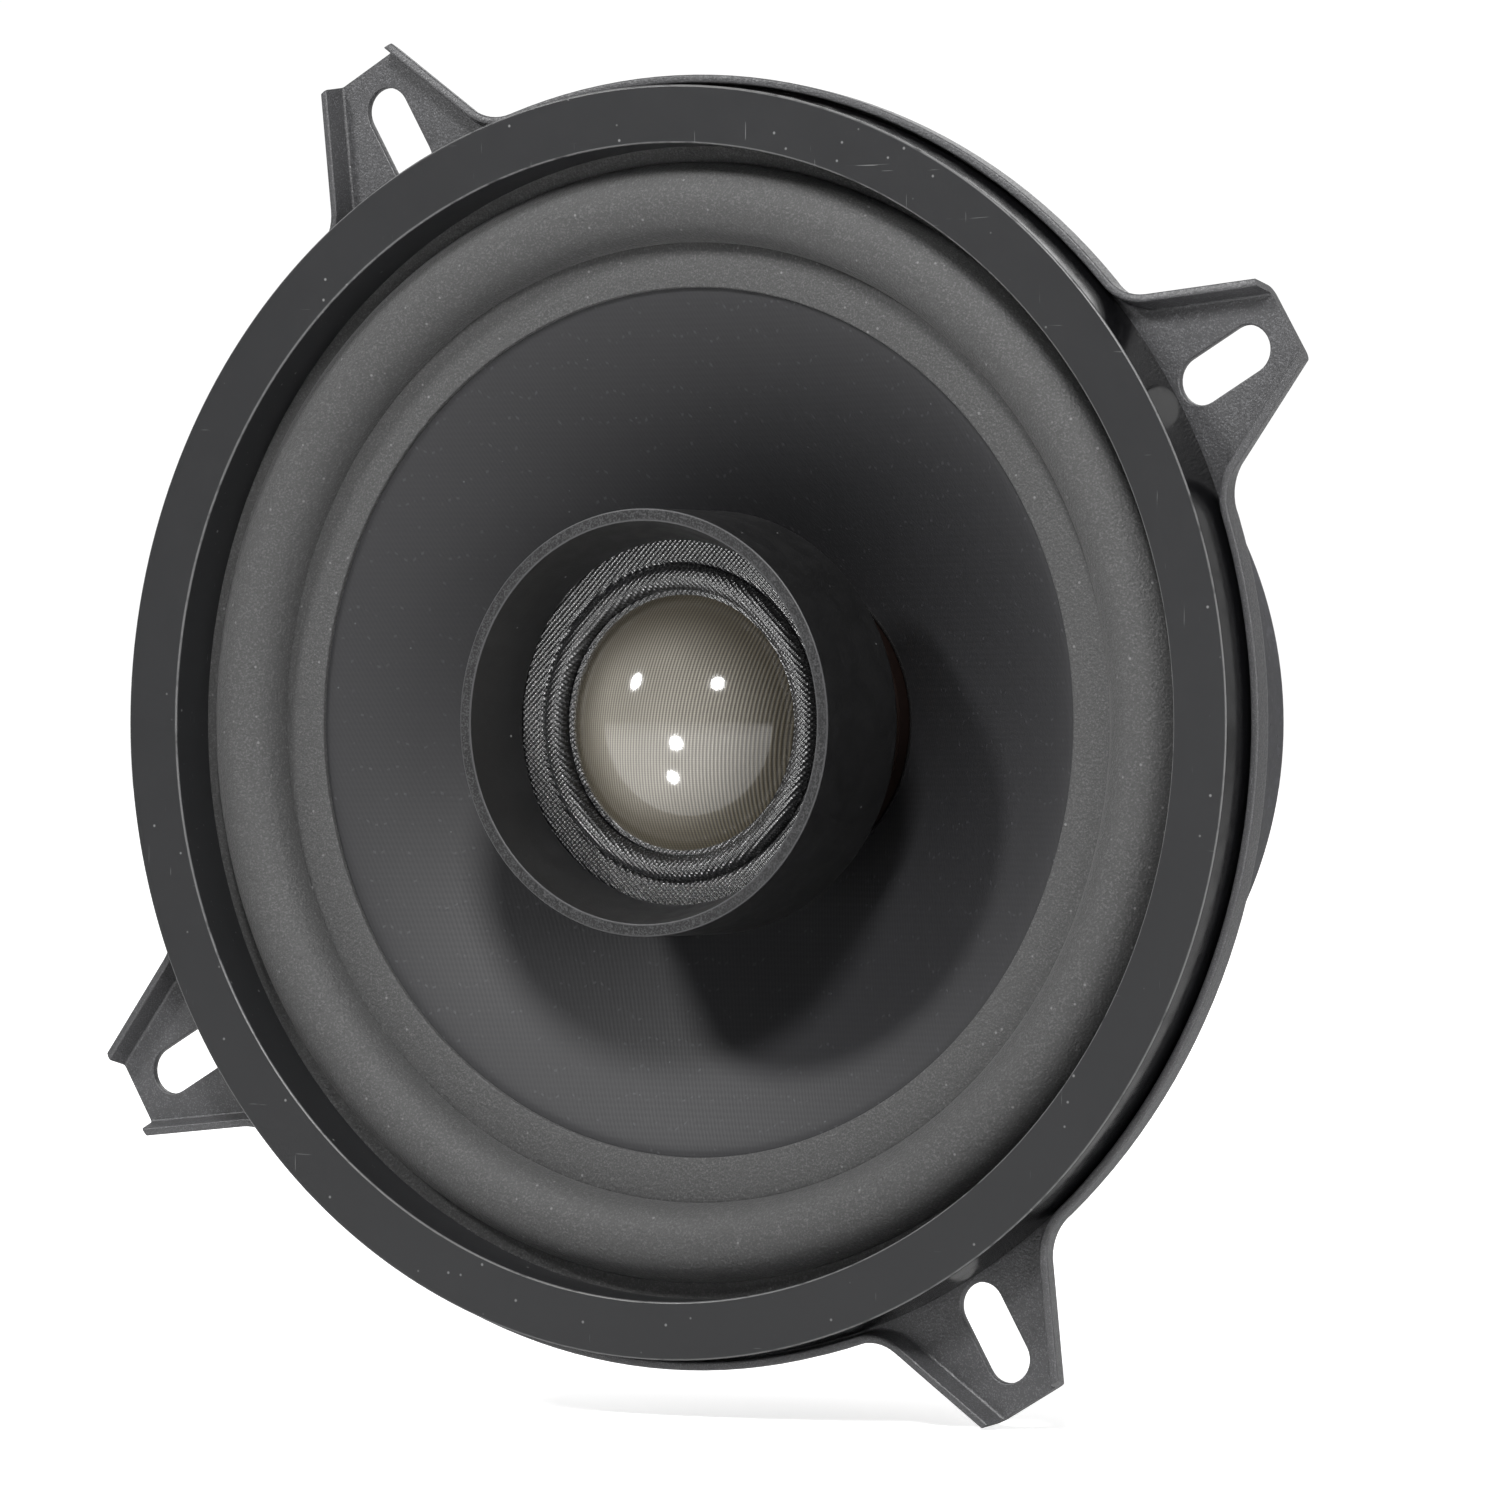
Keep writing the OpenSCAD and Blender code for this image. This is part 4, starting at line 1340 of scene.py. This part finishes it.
def build_terminals(colours):
    low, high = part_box("terminal_board")
    front, rear = low.y / MM, high.y / MM
    tab_x, tab_z = 8, -48.0
    rivet_x, rivet_z = 5, -38.2
    bm = bmesh.new()
    corners = [(low.x, low.z), (high.x, low.z), (high.x, high.z), (low.x, high.z)]
    outline = rounded([(x / MM, z / MM, 1.6) for x, z in corners], steps=5)
    plate(bm, [[(u, front, v) for u, v in outline]], (0, rear - front, 0))
    sides = [e for e in bm.edges if len(e.link_faces) == 2 and e.calc_face_angle() > 1.2]
    bmesh.ops.bevel(
        bm, geom=sides, offset=0.15, affect="EDGES", segments=2, profile=0.5, material=-1,
    )
    board = settle(bm, "terminal_plate", fibre_board(colours.board))
    place(board, FRAME_BODY, "fibre_board", "terminal_board")
    for side, width, name, node, slot, material in (
        (1, 4.8, "positive_tab", "terminal_positive", "brass_part",
         small_metal("tab_brass", colours.brass, 0.26, 0.7)),
        (-1, 2.8, "negative_tab", "terminal_negative", "tinned_tab",
         small_metal("tab_tin", (0.66, 0.66, 0.64), 0.24, 0.8)),
    ):
        bm = bmesh.new()
        tab_shape(bm, side * tab_x, width, rear, tab_z)
        add_rivet(bm, side * tab_x, tab_z + 1, front - 0.4, rear + 0.75, 1.3, 0.85)
        place(settle(bm, name, material), FRAME_BODY, slot, node)
    bm = bmesh.new()
    for x in (-rivet_x, rivet_x):
        add_rivet(bm, x, rivet_z, front - 0.9, rear, 2.0, 1.25)
    rivets = settle(bm, "board_rivet_heads", small_metal("board_rivet_metal", (0.62, 0.62, 0.6)))
    place(rivets, FRAME_BODY, "zinc_plate", "terminal_rivets")


def build_capacitor():
    low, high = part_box("capacitor")
    middle = (low + high) / 2 / MM
    can_r, can_half, sunk = 4.0, 6.5, 6.2
    leg_r, leg_end = 0.4, 8.2
    body = rounded([
        (0, -can_half, 0), (1.5, -can_half, 0.1), (1.5, -sunk, 0), (3.2, -sunk, 0.1),
        (3.4, -can_half, 0.2), (can_r, -can_half, 0.5), (can_r, -4.6, 0.3), (3.55, -4.3, 0.2),
        (3.55, -4.0, 0.2), (can_r, -3.7, 0.3), (can_r, can_half, 0.6), (0, can_half, 0),
    ], closed=False, steps=3)
    bm = bmesh.new()
    add_turned(bm, body, closed=False, steps=48)
    sideways = Matrix.Rotation(-math.pi / 2, 3, "Z")
    bmesh.ops.rotate(bm, cent=(0, 0, 0), matrix=sideways, verts=bm.verts)
    for side in (-1, 1):
        rod(bm, (side * sunk, 0, 0), (side * leg_end, 0, 0), leg_r, 12)
    bmesh.ops.translate(bm, vec=middle, verts=bm.verts)
    piece = settle(
        bm, "capacitor_can", sleeve_plastic(), small_metal("leg_metal", (0.7, 0.7, 0.68), 0.2),
    )
    for face in piece.data.polygons:
        if abs(face.center.x) > (can_half + 0.05) * MM:
            face.material_index = 1
    place(piece, FRAME_BODY, "capacitor_sleeve", "capacitor")


# Radii and centre lines of the leads, as points in millimetres: right, depth, down
TINSEL_RADIUS = 0.6
WIRE_RADIUS = 0.45
TINSEL_ROUTE = [
    (6, 12.7, 22.5), (6.6, 14.6, 26), (7.4, 16.6, 31), (8, 17.6, 37), (8, 19, 42), (8, 21, 45.6),
    (8, 22.3, 47),
]
WIRE_ROUTE = [
    (0.9, 7.3, 0), (0.9, 30, 0), (0.9, 52.4, 0), (0.9, 54.1, 1.4), (0.9, 54.2, 10),
    (1, 54.2, 32), (1.6, 54, 42.4), (3.4, 50, 44.2), (7.4, 40, 44.8), (10.4, 32, 46),
    (11.4, 28, 46.6), (11.4, 25.3, 46.6),
]


def smooth_line(route, side, per_span):
    """Points on a Catmull-Rom curve through a route, mirrored by side."""
    points = [Vector((side * x, y, -down)) for x, y, down in route]
    last = len(points) - 1
    line = []
    for i in range(last):
        a, b = points[max(i - 1, 0)], points[i]
        c, d = points[i + 1], points[min(i + 2, last)]
        for k in range(per_span):
            t = k / per_span
            line.append(0.5 * (
                2 * b + (c - a) * t + (2 * a - 5 * b + 4 * c - d) * t * t
                + (3 * b - a - 3 * c + d) * t ** 3
            ))
    return line + [points[last]]


def sweep(bm, line, radius, sides=8, strands=1, lay=6.0):
    """A round tube, or a rope of twisted strands, along a line."""
    strand_r = radius if strands == 1 else radius * 0.46
    orbit = radius - strand_r
    travelled = 0.0
    rings = [[] for _ in range(strands)]
    for i, point in enumerate(line):
        ahead = (line[min(i + 1, len(line) - 1)] - line[max(i - 1, 0)]).normalized()
        if i:
            travelled += (point - line[i - 1]).length
        across = ahead.cross(Vector((1, 0, 0))).normalized()
        other = ahead.cross(across)
        for s in range(strands):
            turn = math.tau * (s / strands + travelled / lay)
            centre = point + (across * math.cos(turn) + other * math.sin(turn)) * orbit
            corners = [math.tau * k / sides for k in range(sides)]
            rings[s].append([
                centre + (across * math.cos(a) + other * math.sin(a)) * strand_r for a in corners
            ])
    for strand in rings:
        loops = bridged(bm, strand)
        for end in (loops[0], loops[-1]):
            bmesh.ops.edgeloop_fill(bm, edges=end)


def build_leads():
    braid = small_metal("tinsel_braid", (0.62, 0.33, 0.16), 0.34, 0.7)
    for side, name, node in (
        (1, "tinsel_right", "tinsel_lead_positive"), (-1, "tinsel_left", "tinsel_lead_negative"),
    ):
        line = smooth_line(TINSEL_ROUTE, side, 14)
        bm = bmesh.new()
        sweep(bm, line, TINSEL_RADIUS, sides=6, strands=5, lay=4.5)
        piece = settle(bm, name, braid, sharp=70)
        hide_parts(node)
        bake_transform(piece, CONE_BODY, FRAME_BODY, start=line[0] * MM, end=line[-1] * MM)
    bm = bmesh.new()
    for side in (1, -1):
        sweep(bm, smooth_line(WIRE_ROUTE, side, 8), WIRE_RADIUS, sides=12)
    wires = settle(
        bm, "tweeter_wires", wire_insulation("wire_red", (0.30, 0.012, 0.010)),
        wire_insulation("wire_black", (0.010, 0.010, 0.010)), sharp=70,
    )
    for face in wires.data.polygons:
        if face.center.x < 0:
            face.material_index = 1
    place(wires, FRAME_BODY, "lead_insulation", "tweeter_leads")


# ---------------------------------------------------------------- stage


def aim(thing, target):
    direction = Vector(target) - thing.location
    thing.rotation_euler = direction.to_track_quat("-Z", "Y").to_euler()


def area_light(name, direction, distance, size, power, target):
    """A round soft light in a direction from a target."""
    data = bpy.data.lights.new(name, "AREA")
    data.shape = "DISK"
    data.size = size
    data.energy = power
    lamp = bpy.data.objects.new(name, data)
    bpy.context.scene.collection.objects.link(lamp)
    lamp.location = Vector(target) + Vector(direction).normalized() * distance
    aim(lamp, target)
    return lamp


def from_angles(azimuth, elevation):
    """Unit direction to the right of the front by azimuth and up by elevation, in degrees."""
    a, e = math.radians(azimuth), math.radians(elevation)
    return Vector((math.sin(a) * math.cos(e), -math.cos(a) * math.cos(e), math.sin(e)))


# Lights on the speaker: name, azimuth, elevation, distance and diameter in metres, power
LAMPS = [
    ("key_left", -41, 38, 0.70, 0.11, 2.9),
    ("key_right", 23, 41, 0.60, 0.14, 3.7),
    ("key_side", 62, -6, 1.20, 0.80, 11.0),
    ("rear_fill", 190, 40, 1.6, 1.0, 6),
]
# Lights that only the tweeter's face takes: direction, distance and diameter in metres, power
SPARKS = [
    ((-0.727, -0.578, 0.371), 1.2, 0.17, 8.0),
    ((0.228, -0.863, 0.452), 1.2, 0.17, 8.0),
    ((-0.232, -0.944, -0.235), 0.24, 0.038, 0.48),
    ((-0.314, -0.731, -0.606), 0.10, 0.014, 0.07),
]


def build_stage(colours):
    floor_z = CAD_BOX[0].z - FLOOR_GAP
    bm = bmesh.new()
    bmesh.ops.create_circle(bm, cap_ends=True, segments=96, radius=FLOOR_RADIUS / MM)
    bmesh.ops.translate(bm, vec=(0, 0, floor_z / MM), verts=bm.verts)
    floor = settle(bm, "floor", stage_floor(colours.floor))
    floor.light_linking.receiver_collection = bpy.data.collections.new("glow_only")
    floor.light_linking.receiver_collection.objects.link(floor)

    ring_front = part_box("trim_ring")[0].y
    centre = Vector((0, ring_front, 0))
    camera_data = bpy.data.cameras.new("camera")
    camera_data.sensor_width = 36
    camera_data.lens = 219
    camera_data.shift_x = 0.0612
    camera_data.shift_y = -0.0183
    camera_data.clip_end = 50
    camera = bpy.data.objects.new("camera", camera_data)
    bpy.context.scene.collection.objects.link(camera)
    camera.location = centre + from_angles(CAMERA_AZIMUTH, 0) * CAMERA_REACH
    aim(camera, centre)
    bpy.context.scene.camera = camera

    for name, azimuth, elevation, reach, size, power in LAMPS:
        lamp = area_light(name, from_angles(azimuth, elevation), reach, size, power, centre)
        if name.startswith("key"):
            lamp.light_linking.receiver_collection = bpy.data.collections.new(name + "_leaves_out")
    dome = Vector((0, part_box("tweeter_dome")[0].y, 0))
    for i, (direction, reach, size, power) in enumerate(SPARKS):
        spark = area_light(f"dome_spark_{i + 1}", direction, reach, size, power, dome)
        spark.light_linking.receiver_collection = bpy.data.collections.new(spark.name + "_only")

    world = bpy.data.worlds.new("studio")
    world.use_nodes = True
    tree = world.node_tree
    background = tree.nodes["Background"]
    background.inputs["Color"].default_value = (1, 1, 1, 1)
    ray = add(tree, "TexCoord").outputs["Generated"]
    backward = add(tree, "SeparateXYZ", {0: ray}).outputs[1]
    room = step_of(tree, backward, -0.1, 0.35, ROOM_FRONT, ROOM_REAR)
    seen = add(tree, "LightPath").outputs["Is Camera Ray"]
    level = step_of(tree, seen, 0.0, 1.0, room, BACKDROP)
    tree.links.new(level, background.inputs["Strength"])
    bpy.context.scene.world = world
    bpy.context.scene.view_settings.view_transform = "Standard"


# ---------------------------------------------------------------- add-on


class SPEAKER_OT_stage(bpy.types.Operator):
    """Builds the floor, the lights and the camera"""

    bl_idname = "speaker.stage"
    bl_label = "Stage"
    bl_options = {"REGISTER", "UNDO"}

    def execute(self, context):
        build_stage(context.scene.speaker_colours)
        return {"FINISHED"}


class SPEAKER_OT_basket(bpy.types.Operator):
    """Builds the pressed steel basket with its ears"""

    bl_idname = "speaker.basket"
    bl_label = "Basket"
    bl_options = {"REGISTER", "UNDO"}

    def execute(self, context):
        build_basket(context.scene.speaker_shape, context.scene.speaker_colours)
        return {"FINISHED"}


class SPEAKER_OT_trim_ring(bpy.types.Operator):
    """Builds the moulded ring over the surround's edge"""

    bl_idname = "speaker.trim_ring"
    bl_label = "Trim ring"
    bl_options = {"REGISTER", "UNDO"}

    def execute(self, context):
        build_trim_ring(context.scene.speaker_shape, context.scene.speaker_colours)
        return {"FINISHED"}


class SPEAKER_OT_surround(bpy.types.Operator):
    """Builds the half-roll rubber surround"""

    bl_idname = "speaker.surround"
    bl_label = "Surround"
    bl_options = {"REGISTER", "UNDO"}

    def execute(self, context):
        build_surround(context.scene.speaker_shape, context.scene.speaker_colours)
        return {"FINISHED"}


class SPEAKER_OT_cone(bpy.types.Operator):
    """Builds the woven cone and its glue bead"""

    bl_idname = "speaker.cone"
    bl_label = "Cone"
    bl_options = {"REGISTER", "UNDO"}

    def execute(self, context):
        build_cone(context.scene.speaker_shape, context.scene.speaker_colours)
        return {"FINISHED"}


class SPEAKER_OT_voice_coil(bpy.types.Operator):
    """Finishes the former and its winding"""

    bl_idname = "speaker.voice_coil"
    bl_label = "Voice coil"
    bl_options = {"REGISTER", "UNDO"}

    def execute(self, context):
        build_voice_coil()
        return {"FINISHED"}


class SPEAKER_OT_spider(bpy.types.Operator):
    """Builds the corrugated spider"""

    bl_idname = "speaker.spider"
    bl_label = "Spider"
    bl_options = {"REGISTER", "UNDO"}

    def execute(self, context):
        build_spider(context.scene.speaker_colours)
        return {"FINISHED"}


class SPEAKER_OT_motor(bpy.types.Operator):
    """Builds the plates, the magnet and the rivets"""

    bl_idname = "speaker.motor"
    bl_label = "Motor"
    bl_options = {"REGISTER", "UNDO"}

    def execute(self, context):
        build_motor(context.scene.speaker_colours)
        return {"FINISHED"}


class SPEAKER_OT_post(bpy.types.Operator):
    """Finishes the tweeter's post, washer and nut"""

    bl_idname = "speaker.post"
    bl_label = "Post"
    bl_options = {"REGISTER", "UNDO"}

    def execute(self, context):
        build_post(context.scene.speaker_colours)
        return {"FINISHED"}


class SPEAKER_OT_cup(bpy.types.Operator):
    """Builds the cup and its rear cap"""

    bl_idname = "speaker.cup"
    bl_label = "Tweeter cup"
    bl_options = {"REGISTER", "UNDO"}

    def execute(self, context):
        build_cup(context.scene.speaker_colours)
        return {"FINISHED"}


class SPEAKER_OT_tweeter_face(bpy.types.Operator):
    """Builds the cloth flange, the roll and the dome"""

    bl_idname = "speaker.tweeter_face"
    bl_label = "Tweeter face"
    bl_options = {"REGISTER", "UNDO"}

    def execute(self, context):
        build_tweeter_face(context.scene.speaker_shape, context.scene.speaker_colours)
        return {"FINISHED"}


class SPEAKER_OT_tweeter_motor(bpy.types.Operator):
    """Finishes the parts inside the cup"""

    bl_idname = "speaker.tweeter_motor"
    bl_label = "Tweeter motor"
    bl_options = {"REGISTER", "UNDO"}

    def execute(self, context):
        build_tweeter_motor(context.scene.speaker_colours)
        return {"FINISHED"}


class SPEAKER_OT_terminals(bpy.types.Operator):
    """Builds the board, the tabs and the rivets"""

    bl_idname = "speaker.terminals"
    bl_label = "Terminals"
    bl_options = {"REGISTER", "UNDO"}

    def execute(self, context):
        build_terminals(context.scene.speaker_colours)
        return {"FINISHED"}


class SPEAKER_OT_capacitor(bpy.types.Operator):
    """Builds the tweeter's capacitor"""

    bl_idname = "speaker.capacitor"
    bl_label = "Capacitor"
    bl_options = {"REGISTER", "UNDO"}

    def execute(self, context):
        build_capacitor()
        return {"FINISHED"}


class SPEAKER_OT_leads(bpy.types.Operator):
    """Builds the tinsel leads and the tweeter's wires"""

    bl_idname = "speaker.leads"
    bl_label = "Leads"
    bl_options = {"REGISTER", "UNDO"}

    def execute(self, context):
        build_leads()
        return {"FINISHED"}


OPERATORS = [
    SPEAKER_OT_stage,
    SPEAKER_OT_basket,
    SPEAKER_OT_trim_ring,
    SPEAKER_OT_surround,
    SPEAKER_OT_cone,
    SPEAKER_OT_voice_coil,
    SPEAKER_OT_spider,
    SPEAKER_OT_motor,
    SPEAKER_OT_post,
    SPEAKER_OT_cup,
    SPEAKER_OT_tweeter_face,
    SPEAKER_OT_tweeter_motor,
    SPEAKER_OT_terminals,
    SPEAKER_OT_capacitor,
    SPEAKER_OT_leads,
]


class SPEAKER_PT_panel(bpy.types.Panel):
    """Lists the speaker's pieces."""

    bl_label = "Coaxial speaker"
    bl_idname = "SPEAKER_PT_panel"
    bl_space_type = "VIEW_3D"
    bl_region_type = "UI"
    bl_category = "Speaker"

    def draw(self, context):
        for kind in OPERATORS:
            self.layout.operator(kind.bl_idname)


CLASSES = [SpeakerShape, SpeakerColours, *OPERATORS, SPEAKER_PT_panel]


def register():
    for kind in CLASSES:
        bpy.utils.register_class(kind)
    bpy.types.Scene.speaker_shape = bpy.props.PointerProperty(type=SpeakerShape)
    bpy.types.Scene.speaker_colours = bpy.props.PointerProperty(type=SpeakerColours)


def unregister():
    del bpy.types.Scene.speaker_colours
    del bpy.types.Scene.speaker_shape
    for kind in reversed(CLASSES):
        bpy.utils.unregister_class(kind)


def main():
    register()
    for kind in OPERATORS:
        getattr(bpy.ops.speaker, kind.bl_idname.split(".")[1])()


if __name__ == "__main__":
    main()
